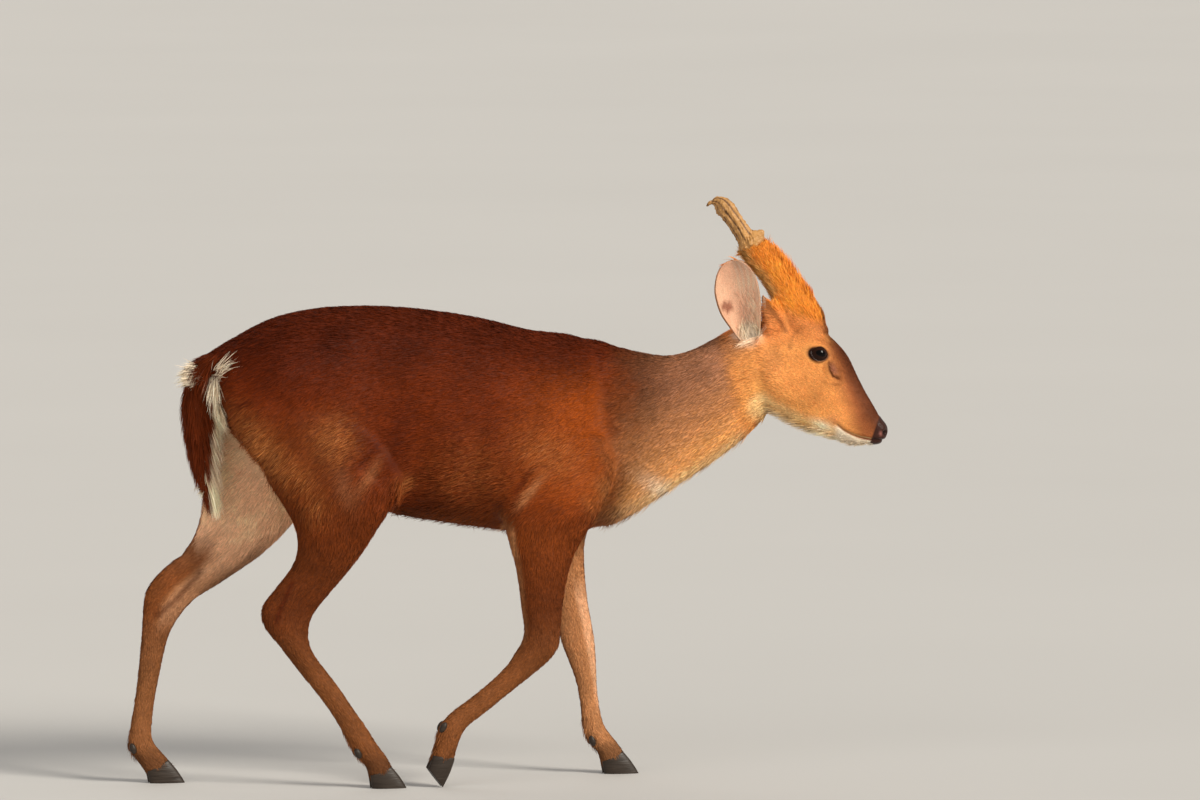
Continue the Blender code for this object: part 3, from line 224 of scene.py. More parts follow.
# Ear in the head frame, for the left side: its middle line, half width, how far its rims stand
# out from that line, and how far round it is rolled, each from root to tip
EAR_MIDDLE = (
    (-0.0120, 0.0220, 0.0220),
    (-0.0180, 0.0290, 0.0440),
    (-0.0260, 0.0360, 0.0700),
    (-0.0320, 0.0420, 0.0960),
    (-0.0355, 0.0480, 0.1130),
    (-0.0380, 0.0525, 0.1240),
    (-0.0395, 0.0560, 0.1305),
    (-0.0400, 0.0575, 0.1335),
)
EAR_HALF = (0.0110, 0.0185, 0.0270, 0.0290, 0.0250, 0.0188, 0.0118, 0.0030)
EAR_RISE = (0.0150, 0.0210, 0.0200, 0.0170, 0.0135, 0.0090, 0.0050, 0.0012)
EAR_ROLL = (132.0, 96.0, 70.0, 58.0, 53.0, 50.0, 46.0, 42.0)
EAR_ACROSS = Vector((0.96, 0.06, 0.28)).normalized()
# Pedicle and antler in the head frame, for the left side: middle line, then half widths
# front to back and side to side
PEDICLE_LINE = (
    (0.066, 0.017, 0.030),
    (0.054, 0.021, 0.068),
    (0.037, 0.027, 0.093),
    (0.020, 0.032, 0.119),
    (-0.005, 0.039, 0.147),
    (-0.017, 0.0425, 0.164),
)
PEDICLE_HALF = (
    (0.0290, 0.0185),
    (0.0265, 0.0180),
    (0.0250, 0.0180),
    (0.0235, 0.0185),
    (0.0225, 0.0190),
    (0.0215, 0.0190),
)
ANTLER_LINE = (
    (-0.0085, 0.0400, 0.1530),
    (-0.0130, 0.0410, 0.1600),
    (-0.0205, 0.0425, 0.1680),
    (-0.0300, 0.0445, 0.1820),
    (-0.0400, 0.0465, 0.1965),
    (-0.0480, 0.0478, 0.2065),
    (-0.0550, 0.0485, 0.2120),
    (-0.0635, 0.0482, 0.2135),
    (-0.0715, 0.0475, 0.2090),
)
ANTLER_RIDGES = 7
# Hooves: each claw runs from the coronet to its sole. The sole's toe and heel, x and z.
CLAW_OFFSET = 0.0078
CLAW_HALF = 0.0068
SOLES = {
    "hind_right": ((-0.152, 0.0), (-0.199, 0.0)),
    "hind_left": ((-0.433, 0.0), (-0.481, 0.0)),
    "fore_right": ((-0.103, 0.0), (-0.123, 0.0260)),
    "fore_left": ((0.190, 0.0), (0.143, 0.0)),
}
DEWCLAW_OFFSET = 0.0092
DEWCLAW_SINK = 0.0042
# The limbs are parted at these rows of their tables: upper part, cannon, foot, coronet
LIMB_CUTS = {
    "hind_right": (4, 10, 14, 17),
    "hind_left": (4, 10, 14, 17),
    "fore_right": (3, 9, 13, 16),
    "fore_left": (3, 9, 12, 15),
}
# Section rows. Upper (or front) point x, z; lower (or rear) point x, z; middle y; half width;
# height of the widest level as a share from the lower point; squareness, where 2 is an ellipse.
TORSO = (
    (-0.424, 0.574, -0.418, 0.536, 0.000, 0.020, 0.50, 2.0),
    (-0.402, 0.588, -0.388, 0.494, 0.000, 0.056, 0.55, 2.1),
    (-0.368, 0.607, -0.353, 0.448, 0.000, 0.079, 0.57, 2.2),
    (-0.318, 0.631, -0.318, 0.412, 0.000, 0.094, 0.60, 2.2),
    (-0.262, 0.643, -0.262, 0.394, 0.000, 0.097, 0.58, 2.2),
    (-0.205, 0.646, -0.205, 0.378, 0.000, 0.094, 0.55, 2.2),
    (-0.150, 0.644, -0.150, 0.362, 0.000, 0.096, 0.50, 2.2),
    (-0.090, 0.637, -0.090, 0.351, 0.000, 0.099, 0.47, 2.2),
    (-0.030, 0.626, -0.030, 0.342, 0.000, 0.097, 0.47, 2.2),
    (0.030, 0.611, 0.030, 0.334, 0.000, 0.088, 0.45, 2.1),
    (0.085, 0.604, 0.085, 0.331, 0.000, 0.075, 0.42, 2.0),
    (0.130, 0.591, 0.134, 0.345, 0.000, 0.057, 0.40, 2.0),
)
NECK = (
    (0.080, 0.601, 0.090, 0.345, 0.000, 0.062, 0.42, 2.0),
    (0.125, 0.596, 0.138, 0.342, 0.000, 0.060, 0.40, 2.0),
    (0.160, 0.585, 0.185, 0.364, -0.001, 0.055, 0.42, 2.0),
    (0.193, 0.577, 0.235, 0.396, -0.005, 0.050, 0.46, 2.0),
    (0.224, 0.575, 0.276, 0.423, -0.010, 0.046, 0.50, 2.0),
    (0.252, 0.583, 0.311, 0.450, -0.016, 0.043, 0.52, 2.1),
    (0.276, 0.595, 0.338, 0.476, -0.020, 0.041, 0.52, 2.1),
    (0.302, 0.610, 0.358, 0.500, -0.025, 0.040, 0.52, 2.1),
    (0.326, 0.619, 0.376, 0.508, -0.030, 0.038, 0.52, 2.1),
)
HIND_RIGHT = (
    (-0.205, 0.560, -0.405, 0.560, -0.046, 0.036, 0.50, 2.0),
    (-0.168, 0.480, -0.387, 0.502, -0.060, 0.041, 0.50, 2.0),
    (-0.156, 0.420, -0.354, 0.438, -0.067, 0.042, 0.52, 2.0),
    (-0.168, 0.384, -0.328, 0.394, -0.071, 0.040, 0.54, 2.0),
    (-0.190, 0.350, -0.307, 0.357, -0.073, 0.035, 0.54, 2.0),
    (-0.214, 0.314, -0.301, 0.326, -0.073, 0.029, 0.54, 2.0),
    (-0.238, 0.284, -0.309, 0.301, -0.072, 0.024, 0.56, 2.0),
    (-0.262, 0.256, -0.328, 0.276, -0.070, 0.0190, 0.58, 2.0),
    (-0.279, 0.232, -0.348, 0.248, -0.068, 0.0165, 0.60, 2.1),
    (-0.284, 0.208, -0.346, 0.222, -0.067, 0.0165, 0.58, 2.1),
    (-0.278, 0.186, -0.322, 0.190, -0.066, 0.0150, 0.56, 2.0),
    (-0.264, 0.166, -0.297, 0.157, -0.066, 0.0128, 0.52, 2.0),
    (-0.244, 0.140, -0.272, 0.126, -0.065, 0.0115, 0.50, 2.0),
    (-0.222, 0.108, -0.249, 0.093, -0.065, 0.0112, 0.50, 2.0),
    (-0.203, 0.080, -0.233, 0.065, -0.064, 0.0135, 0.50, 2.0),
    (-0.191, 0.061, -0.222, 0.046, -0.064, 0.0140, 0.50, 2.0),
    (-0.178, 0.043, -0.208, 0.030, -0.064, 0.0145, 0.50, 2.1),
    (-0.169, 0.027, -0.203, 0.015, -0.064, 0.0150, 0.50, 2.1),
)
HIND_LEFT = (
    (-0.222, 0.560, -0.412, 0.556, 0.044, 0.036, 0.50, 2.0),
    (-0.210, 0.490, -0.408, 0.500, 0.054, 0.041, 0.50, 2.0),
    (-0.228, 0.430, -0.404, 0.440, 0.061, 0.041, 0.52, 2.0),
    (-0.258, 0.382, -0.405, 0.396, 0.065, 0.039, 0.54, 2.0),
    (-0.285, 0.343, -0.409, 0.362, 0.066, 0.034, 0.54, 2.0),
    (-0.318, 0.311, -0.418, 0.334, 0.066, 0.028, 0.54, 2.0),
    (-0.353, 0.286, -0.432, 0.314, 0.065, 0.0235, 0.55, 2.0),
    (-0.386, 0.265, -0.450, 0.298, 0.064, 0.0195, 0.56, 2.0),
    (-0.416, 0.247, -0.469, 0.282, 0.063, 0.0170, 0.58, 2.0),
    (-0.438, 0.224, -0.485, 0.259, 0.062, 0.0165, 0.60, 2.1),
    (-0.452, 0.200, -0.489, 0.232, 0.061, 0.0160, 0.58, 2.1),
    (-0.459, 0.176, -0.492, 0.190, 0.061, 0.0142, 0.54, 2.0),
    (-0.465, 0.148, -0.496, 0.152, 0.060, 0.0122, 0.50, 2.0),
    (-0.472, 0.112, -0.501, 0.112, 0.060, 0.0112, 0.50, 2.0),
    (-0.476, 0.080, -0.507, 0.076, 0.060, 0.0120, 0.50, 2.0),
    (-0.475, 0.058, -0.508, 0.046, 0.060, 0.0138, 0.50, 2.0),
    (-0.464, 0.043, -0.495, 0.026, 0.060, 0.0142, 0.50, 2.1),
    (-0.452, 0.029, -0.486, 0.013, 0.060, 0.0148, 0.50, 2.1),
)
FORE_RIGHT = (
    (0.128, 0.470, -0.030, 0.480, -0.052, 0.032, 0.50, 2.0),
    (0.128, 0.410, -0.028, 0.415, -0.062, 0.034, 0.50, 2.0),
    (0.112, 0.368, -0.022, 0.366, -0.068, 0.033, 0.50, 2.0),
    (0.085, 0.323, -0.012, 0.325, -0.070, 0.0275, 0.50, 2.0),
    (0.075, 0.300, -0.005, 0.300, -0.071, 0.0245, 0.50, 2.0),
    (0.068, 0.276, 0.000, 0.274, -0.071, 0.0215, 0.52, 2.0),
    (0.063, 0.244, 0.004, 0.241, -0.070, 0.0185, 0.54, 2.0),
    (0.060, 0.216, 0.008, 0.214, -0.069, 0.0170, 0.54, 2.1),
    (0.058, 0.190, 0.006, 0.196, -0.069, 0.0168, 0.54, 2.2),
    (0.046, 0.170, -0.003, 0.180, -0.068, 0.0162, 0.54, 2.2),
    (0.023, 0.150, -0.014, 0.164, -0.068, 0.0140, 0.52, 2.0),
    (-0.010, 0.124, -0.034, 0.144, -0.067, 0.0115, 0.50, 2.0),
    (-0.042, 0.099, -0.066, 0.119, -0.067, 0.0112, 0.50, 2.0),
    (-0.066, 0.081, -0.090, 0.101, -0.066, 0.0130, 0.50, 2.0),
    (-0.076, 0.066, -0.106, 0.083, -0.066, 0.0140, 0.50, 2.0),
    (-0.082, 0.050, -0.112, 0.060, -0.066, 0.0140, 0.50, 2.1),
    (-0.086, 0.035, -0.118, 0.042, -0.066, 0.0145, 0.50, 2.1),
)
FORE_LEFT = (
    (0.140, 0.470, -0.010, 0.480, 0.050, 0.032, 0.50, 2.0),
    (0.144, 0.410, 0.004, 0.415, 0.059, 0.034, 0.50, 2.0),
    (0.134, 0.368, 0.016, 0.366, 0.064, 0.033, 0.50, 2.0),
    (0.121, 0.323, 0.032, 0.325, 0.065, 0.0275, 0.50, 2.0),
    (0.118, 0.300, 0.044, 0.300, 0.065, 0.0245, 0.50, 2.0),
    (0.119, 0.270, 0.058, 0.266, 0.064, 0.0210, 0.52, 2.0),
    (0.122, 0.236, 0.070, 0.232, 0.063, 0.0180, 0.54, 2.0),
    (0.127, 0.208, 0.079, 0.204, 0.062, 0.0170, 0.54, 2.1),
    (0.131, 0.182, 0.085, 0.178, 0.061, 0.0168, 0.54, 2.2),
    (0.133, 0.158, 0.094, 0.155, 0.061, 0.0152, 0.52, 2.2),
    (0.134, 0.130, 0.104, 0.126, 0.060, 0.0122, 0.50, 2.0),
    (0.137, 0.098, 0.110, 0.094, 0.060, 0.0112, 0.50, 2.0),
    (0.143, 0.070, 0.114, 0.062, 0.060, 0.0130, 0.50, 2.0),
    (0.152, 0.055, 0.122, 0.044, 0.060, 0.0140, 0.50, 2.0),
    (0.163, 0.041, 0.134, 0.028, 0.060, 0.0142, 0.50, 2.1),
    (0.172, 0.028, 0.138, 0.014, 0.060, 0.0148, 0.50, 2.1),
)
SKULL = (
    (-0.052, 0.030, -0.006, -0.050, 0.000, 0.028, 0.50, 2.0),
    (-0.036, 0.041, 0.004, -0.062, 0.000, 0.037, 0.50, 2.1),
    (-0.015, 0.050, 0.016, -0.071, 0.000, 0.0415, 0.54, 2.2),
    (0.020, 0.055, 0.036, -0.082, 0.000, 0.0425, 0.58, 2.3),
    (0.055, 0.051, 0.058, -0.093, 0.000, 0.0430, 0.64, 2.3),
    (0.084, 0.040, 0.078, -0.099, 0.000, 0.0395, 0.70, 2.3),
    (0.104, 0.024, 0.094, -0.104, 0.000, 0.0325, 0.68, 2.3),
    (0.119, 0.006, 0.106, -0.109, 0.000, 0.0265, 0.60, 2.3),
    (0.131, -0.018, 0.117, -0.113, 0.000, 0.0225, 0.54, 2.3),
    (0.142, -0.040, 0.127, -0.1145, 0.000, 0.0200, 0.52, 2.3),
    (0.153, -0.059, 0.137, -0.1135, 0.000, 0.0185, 0.52, 2.3),
    (0.162, -0.075, 0.147, -0.1130, 0.000, 0.0172, 0.52, 2.3),
    (0.1705, -0.088, 0.157, -0.1135, 0.000, 0.0148, 0.52, 2.2),
    (0.1735, -0.096, 0.165, -0.1110, 0.000, 0.0085, 0.50, 2.0),
)
TAIL = (
    (-0.404, 0.582, -0.398, 0.556, 0.000, 0.018, 0.50, 2.0),
    (-0.424, 0.576, -0.403, 0.546, 0.000, 0.023, 0.54, 2.0),
    (-0.437, 0.556, -0.404, 0.536, 0.000, 0.026, 0.58, 2.0),
    (-0.442, 0.528, -0.405, 0.518, 0.000, 0.027, 0.60, 2.0),
    (-0.442, 0.494, -0.406, 0.488, 0.000, 0.026, 0.60, 2.0),
    (-0.437, 0.460, -0.407, 0.455, 0.000, 0.023, 0.60, 2.0),
    (-0.430, 0.430, -0.407, 0.426, 0.000, 0.017, 0.58, 2.0),
    (-0.423, 0.410, -0.408, 0.407, 0.000, 0.011, 0.54, 2.0),
    (-0.4185, 0.393, -0.4120, 0.392, 0.000, 0.004, 0.50, 2.0),
)
EAR_ROOT = (-0.0130, 0.0240, 0.0330)
EAR_ROOT_RADII = (0.0150, 0.0130, 0.0170)
# The lobe that fills the place between the ear's front rim and the pedicle, and its half widths
EAR_LOBE = (
    (0.0210, 0.0290, 0.0400),
    (0.0170, 0.0380, 0.0580),
    (0.0095, 0.0470, 0.0755),
    (0.0025, 0.0520, 0.0905),
)
EAR_LOBE_HALF = ((0.0160, 0.0110), (0.0135, 0.0085), (0.0095, 0.0055), (0.0030, 0.0024))
# Swellings (height above 0) and hollows (below 0) on both sides, in world places:
# x, y, z; reach along x, y, z; lean about y in degrees, top back is positive; height
RELIEF = (
    (0.040, 0.080, 0.500, 0.038, 0.05, 0.080, 20.0, 0.0060),
    (0.000, 0.085, 0.425, 0.044, 0.05, 0.046, 30.0, 0.0060),
    (0.118, 0.055, 0.425, 0.034, 0.05, 0.040, 0.0, 0.0090),
    (0.070, 0.075, 0.385, 0.030, 0.04, 0.040, 0.0, 0.0035),
    (-0.062, 0.100, 0.430, 0.020, 0.05, 0.060, -8.0, -0.0045),
    (0.122, 0.060, 0.520, 0.020, 0.05, 0.075, -22.0, -0.0045),
    (-0.200, 0.090, 0.560, 0.046, 0.05, 0.034, 0.0, -0.0060),
    (-0.245, 0.075, 0.600, 0.024, 0.05, 0.022, 0.0, 0.0045),
    (-0.330, 0.080, 0.545, 0.055, 0.06, 0.050, 20.0, 0.0060),
    (-0.225, 0.100, 0.455, 0.050, 0.06, 0.070, 10.0, 0.0060),
    (-0.372, 0.075, 0.470, 0.022, 0.05, 0.070, -18.0, 0.0035),
    (-0.343, 0.090, 0.450, 0.012, 0.05, 0.070, -18.0, -0.0035),
    (-0.163, 0.095, 0.400, 0.012, 0.05, 0.020, 0.0, 0.0040),
    (-0.135, 0.095, 0.420, 0.020, 0.05, 0.050, 0.0, -0.0040),
    (-0.100, 0.100, 0.480, 0.070, 0.06, 0.070, 0.0, 0.0030),
)
# The same for the right side alone, where that hind limb swings forward
RELIEF_RIGHT = (
    (-0.292, 0.088, 0.285, 0.008, 0.04, 0.026, -50.0, -0.0030),
    (-0.262, 0.088, 0.330, 0.024, 0.04, 0.034, -35.0, 0.0030),
    (-0.196, 0.100, 0.420, 0.006, 0.04, 0.018, 38.0, -0.0016),
    (-0.212, 0.100, 0.428, 0.006, 0.04, 0.018, 38.0, -0.0014),
)
RELIEF_LEFT = (
    (-0.420, 0.080, 0.300, 0.024, 0.04, 0.008, -30.0, -0.0028),
    (-0.370, 0.085, 0.335, 0.034, 0.04, 0.024, -30.0, 0.0030),
)
# The same on the head, in its own frame
HEAD_RELIEF = (
    (0.040, 0.045, -0.045, 0.030, 0.03, 0.030, 0.0, 0.0040),
    (0.008, 0.042, -0.040, 0.010, 0.03, 0.032, 20.0, -0.0025),
    (0.048, 0.045, 0.018, 0.014, 0.03, 0.018, 0.0, -0.0030),
    (0.084, 0.034, 0.030, 0.018, 0.02, 0.008, 30.0, 0.0035),
    (0.112, 0.026, -0.030, 0.016, 0.02, 0.018, 30.0, -0.0022),
    (0.092, 0.030, -0.062, 0.020, 0.02, 0.016, 30.0, -0.0018),
    (0.128, 0.020, -0.088, 0.022, 0.02, 0.010, 25.0, 0.0016),
    (0.128, 0.014, -0.116, 0.016, 0.02, 0.008, 0.0, 0.0010),
    (0.166, 0.010, -0.090, 0.006, 0.02, 0.008, 0.0, 0.0010),
)


def collection(name, hidden=False):
    made = bpy.data.collections.new(name)
    bpy.context.scene.collection.children.link(made)
    made.hide_render = hidden
    return made


def mesh_object(name, shape, where):
    """An object in a collection from a bmesh, which is freed."""
    bmesh.ops.recalc_face_normals(shape, faces=shape.faces)
    mesh = bpy.data.meshes.new(name)
    shape.to_mesh(mesh)
    shape.free()
    made = bpy.data.objects.new(name, mesh)
    where.objects.link(made)
    return made


def apply_modifiers(item):
    bpy.context.view_layer.update()
    graph = bpy.context.evaluated_depsgraph_get()
    mesh = bpy.data.meshes.new_from_object(item.evaluated_get(graph))
    item.modifiers.clear()
    item.data = mesh


def remove(items):
    for item in items:
        bpy.data.objects.remove(item, do_unlink=True)


def head_matrix():
    turn = Matrix.Rotation(HEAD_YAW, 4, "Z") @ Matrix.Rotation(HEAD_ROLL, 4, "X")
    return Matrix.Translation(HEAD_PLACE) @ turn


def sided(place, side):
    """A left-side place, or its mirror image for side -1."""
    return Vector((place[0], side * place[1], place[2]))


def between(rows, steps):
    """Rows read along a smooth curve through them, with so many steps to each stretch."""
    rows = np.array(rows, float)
    padded = np.vstack([2 * rows[0] - rows[1], rows, 2 * rows[-1] - rows[-2]])
    read = []
    for i in range(1, len(padded) - 2):
        a, b, c, d = padded[i - 1 : i + 3]
        for t in np.arange(steps) / steps:
            bend = (2 * a - 5 * b + 4 * c - d) * t**2 + (3 * b - a - 3 * c + d) * t**3
            read.append(0.5 * (2 * b + (c - a) * t + bend))
    read.append(padded[-2])
    return np.array(read)


def section(row, sides):
    """One closed ring through a row's upper and lower points."""
    ax, az, bx, bz, y, half, middle, square = row
    turn = np.linspace(0, 2 * math.pi, sides, endpoint=False)
    up = np.sign(np.cos(turn)) * np.abs(np.cos(turn)) ** (2 / square)
    out = np.sign(np.sin(turn)) * np.abs(np.sin(turn)) ** (2 / square)
    share = np.where(up >= 0, middle + up * (1 - middle), middle + up * middle)
    return np.stack([bx + (ax - bx) * share, y + out * half, bz + (az - bz) * share], axis=1)


def skin_rings(name, rings, where):
    """A closed object from rings of equal count, capped at both ends."""
    shape = bmesh.new()
    made = [[shape.verts.new(p) for p in ring] for ring in rings]
    count = len(made[0])
    for low, high in zip(made, made[1:]):
        for s in range(count):
            t = (s + 1) % count
            shape.faces.new((low[s], low[t], high[t], high[s]))
    shape.faces.new(made[0][::-1])
    shape.faces.new(made[-1])
    return mesh_object(name, shape, where)


def loft(name, rows, where, sides=28, steps=4):
    return skin_rings(name, [section(row, sides) for row in between(rows, steps)], where)


def tube_rings(line, halves, sides, steps, ridge=None):
    """Rings across a 3-D line. Each has a half width front to back and one side to side."""
    rows = between([(*p, *h) for p, h in zip(line, halves)], steps)
    centres, sizes = rows[:, :3], np.maximum(rows[:, 3:], 0.0004)
    ahead = np.gradient(centres, axis=0)
    rings = []
    for r, (centre, size, along) in enumerate(zip(centres, sizes, ahead)):
        along = Vector(along).normalized()
        front = along.cross(Vector((0.0, 1.0, 0.0))).normalized()
        across = front.cross(along).normalized()
        turn = np.linspace(0, 2 * math.pi, sides, endpoint=False)
        scale = np.ones(sides) if ridge is None else ridge(turn, r / (len(rows) - 1))
        a, b = np.cos(turn) * size[0] * scale, np.sin(turn) * size[1] * scale
        rings.append([Vector(centre) + front * u + across * v for u, v in zip(a, b)])
    return rings


def tube(name, line, halves, where, sides=20, steps=4, ridge=None):
    return skin_rings(name, tube_rings(line, halves, sides, steps, ridge), where)


def ball(name, centre, radii, where, segments=24, rings=16, turn=None):
    shape = bmesh.new()
    bmesh.ops.create_uvsphere(shape, u_segments=segments, v_segments=rings, radius=1.0)
    place = Matrix.Translation(centre) @ (turn or Matrix()) @ Matrix.Diagonal((*radii, 1.0))
    bmesh.ops.transform(shape, matrix=place, verts=shape.verts)
    return mesh_object(name, shape, where)


def joined(items, name, where):
    """One object that holds every item's faces. The items are removed."""
    whole = bmesh.new()
    for item in items:
        whole.from_mesh(item.data)
    remove(items)
    return mesh_object(name, whole, where)


def limb_tables():
    return {
        "hind_right": HIND_RIGHT,
        "hind_left": HIND_LEFT,
        "fore_right": FORE_RIGHT,
        "fore_left": FORE_LEFT,
    }


def smooth_by_place(item, iterations, weigh):
    """Smooths a mesh, more where weigh gives a larger share."""
    group = item.vertex_groups.new(name="share")
    points = points_of(item.data)
    shares = np.round(weigh(points), 2)
    for share in np.unique(shares):
        group.add([int(i) for i in np.nonzero(shares == share)[0]], float(share), "REPLACE")
    smooth = item.modifiers.new("smooth", "SMOOTH")
    smooth.factor = 0.5
    smooth.iterations = iterations
    smooth.vertex_group = group.name
    apply_modifiers(item)
    item.vertex_groups.clear()


def points_of(mesh):
    points = np.empty(len(mesh.vertices) * 3)
    mesh.vertices.foreach_get("co", points)
    return points.reshape(-1, 3)


def normals_of(mesh):
    normals = np.empty(len(mesh.vertices) * 3)
    mesh.vertices.foreach_get("normal", normals)
    return normals.reshape(-1, 3)


def put_points(mesh, points):
    mesh.vertices.foreach_set("co", np.ascontiguousarray(points, np.float32).ravel())
    mesh.update()


def remeshed(item, voxel):
    remesh = item.modifiers.new("remesh", "REMESH")
    remesh.mode = "VOXEL"
    remesh.voxel_size = voxel
    apply_modifiers(item)


def ramp(value, low, high):
    """0 at low, 1 at high and smooth between."""
    t = np.clip((value - low) / (high - low), 0.0, 1.0)
    return t * t * (3 - 2 * t)


def in_head(points):
    return (points - np.array(HEAD_PLACE)) @ np.array(head_matrix().to_3x3())


def form_share(points):
    """Joints of limb and body are smoothed most, feet and head least."""
    leg = 0.12 + 0.88 * ramp(points[:, 2], 0.30, 0.40)
    head = 0.15 + 0.85 * ramp(-in_head(points)[:, 0], -0.005, 0.055)
    return np.minimum(leg, head)


def relief(points, rows, side):
    """Height of the soft swellings and hollows at each point."""
    height = np.zeros(len(points))
    for x, y, z, rx, ry, rz, lean, tall in rows:
        lean = math.radians(lean)
        dx, dy, dz = points[:, 0] - x, points[:, 1] - side * y, points[:, 2] - z
        u = (dx * math.cos(lean) + dz * math.sin(lean)) / rx
        w = (-dx * math.sin(lean) + dz * math.cos(lean)) / rz
        height += tall * np.exp(-(u**2 + (dy / ry) ** 2 + w**2))
    return height


def near_line(points, line):
    """Distance in side view from each point to a polyline."""
    nearest = np.full(len(points), 1.0)
    flat = points[:, [0, 2]]
    for a, b in zip(line, line[1:]):
        a, b = np.array(a), np.array(b)
        t = np.clip((flat - a) @ (b - a) / ((b - a) @ (b - a)), 0.0, 1.0)
        nearest = np.minimum(nearest, np.linalg.norm(flat - a - t[:, None] * (b - a), axis=1))
    return nearest


def face_height(points):
    """Folds of the face, in the head frame: mouth line, lips, gland fold and nostrils."""
    height = np.zeros(len(points))
    front = ramp(points[:, 0], 0.098, 0.106)
    away = near_line(points, MOUTH_LINE)
    height -= front * MOUTH_DEPTH * np.exp(-((away / MOUTH_WIDTH) ** 2))
    height += front * LIP_SWELL * np.exp(-(((away - 0.0048) / 0.0030) ** 2))
    away = near_line(points, GLAND_LINE)
    outer = np.abs(points[:, 1]) > 0.012
    height -= outer * GLAND_DEPTH * np.exp(-((away / GLAND_WIDTH) ** 2))
    height += outer * GLAND_DEPTH * 0.45 * np.exp(-(((away - 0.0055) / 0.0030) ** 2))
    for side in (-1, 1):
        off = (points - np.array(sided(NOSTRIL_PLACE, side))) / np.array(NOSTRIL_RADII)
        height -= 0.0040 * np.exp(-(off**2).sum(axis=1) ** 1.5)
    return height


def lids(points, side):
    """Draws the skin round the eyeball into a socket with an upper and a lower lid."""
    centre = np.array(sided(EYE_PLACE, side))
    outward = np.array(sided(EYE_OUTWARD, side))
    slant = np.array((math.cos(EYE_SLANT), 0.0, math.sin(EYE_SLANT)))
    along = slant - outward * (slant @ outward)
    along /= np.linalg.norm(along)
    upward = np.cross(outward, along) * -side
    arm = points - centre
    reach = np.linalg.norm(arm, axis=1)
    a, b, out = arm @ along, arm @ upward, arm @ outward
    power = 1.5
    q = (np.abs(a / LID_LENGTH) ** power + np.abs(b / LID_HEIGHT) ** power) ** (1 / power)
    wall = EYE_RADIUS + LID_WALL * ramp(q, 0.90, 1.04) - 0.0020 * (1 - ramp(q, 0.86, 1.0))
    wall += 0.0006 * np.exp(-(((q - 1.12) / 0.10) ** 2)) - 0.0011 * np.exp(-(((q - 1.50) / 0.12) ** 2))
    share = (1 - ramp(q, 1.45, 2.15)) * ramp(out, -0.001, 0.003) * (reach < 0.034)
    drawn = centre + arm / np.maximum(reach, 1e-6)[:, None] * wall[:, None]
    return points + (drawn - points) * share[:, None]


def shape_flesh(flesh):
    """Reliefs of the body and head, then the lids."""
    points, normals = points_of(flesh.data), normals_of(flesh.data)
    local = in_head(points)
    height = np.zeros(len(points))
    for side in (-1, 1):
        height += relief(points, RELIEF, side)
        height += relief(local, HEAD_RELIEF, side) * (local[:, 0] > -0.05)
    height += relief(points, RELIEF_RIGHT, -1) + relief(points, RELIEF_LEFT, 1)
    face = local[:, 0] > 0.06
    height[face] += face_height(local[face])
    points = points + normals * height[:, None]
    local = in_head(points)
    face = (local[:, 0] > 0.03) & (local[:, 0] < 0.13) & (local[:, 2] > -0.06)
    for side in (-1, 1):
        local[face] = lids(local[face], side)
    turn = np.array(head_matrix().to_3x3())
    points[face] = local[face] @ turn.T + np.array(HEAD_PLACE)
    put_points(flesh.data, points)


def cleaned(item):
    """Closes up the shortest edges, which a cut leaves where it passes close to a point."""
    shape = bmesh.new()
    shape.from_mesh(item.data)
    bmesh.ops.dissolve_degenerate(shape, dist=SHORTEST_EDGE, edges=shape.edges)
    bmesh.ops.triangulate(shape, faces=shape.faces)
    shape.to_mesh(item.data)
    shape.free()


def thinned(item, triangles):
    """The item with about so many triangles."""
    cleaned(item)
    faces = sum(len(p.vertices) - 2 for p in item.data.polygons)
    thin = item.modifiers.new("thin", "DECIMATE")
    thin.ratio = min(1.0, triangles / faces)
    apply_modifiers(item)
    cleaned(item)


def antler_axis(side):
    """Where the antler's foot meets the pedicle, and the way it points there."""
    start, after = sided(ANTLER_LINE[0], side), sided(ANTLER_LINE[2], side)
    return start, (after - start).normalized()


def boolean(item, operation, others=None, one=None, solver="EXACT"):
    for cutter in [one] if one else others.objects:
        cutter.display_type = "WIRE"
    change = item.modifiers.new("boolean", "BOOLEAN")
    change.operation = operation
    change.solver = solver
    if one:
        change.object = one
    else:
        change.operand_type = "COLLECTION"
        change.collection = others
    apply_modifiers(item)


def bodies(item):
    """The loose closed surfaces of a mesh, each as an object."""
    bpy.ops.object.select_all(action="DESELECT")
    item.select_set(True)
    bpy.context.view_layer.objects.active = item
    bpy.ops.mesh.separate(type="LOOSE")
    return list(bpy.context.selected_objects)


def volume_of(item):
    shape = bmesh.new()
    shape.from_mesh(item.data)
    volume = shape.calc_volume()
    shape.free()
    return volume


def largest(item, name):
    """The largest closed surface of a mesh, under the given name."""
    pieces = sorted(bodies(item), key=volume_of)
    remove(pieces[:-1])
    pieces[-1].name = name
    return pieces[-1]


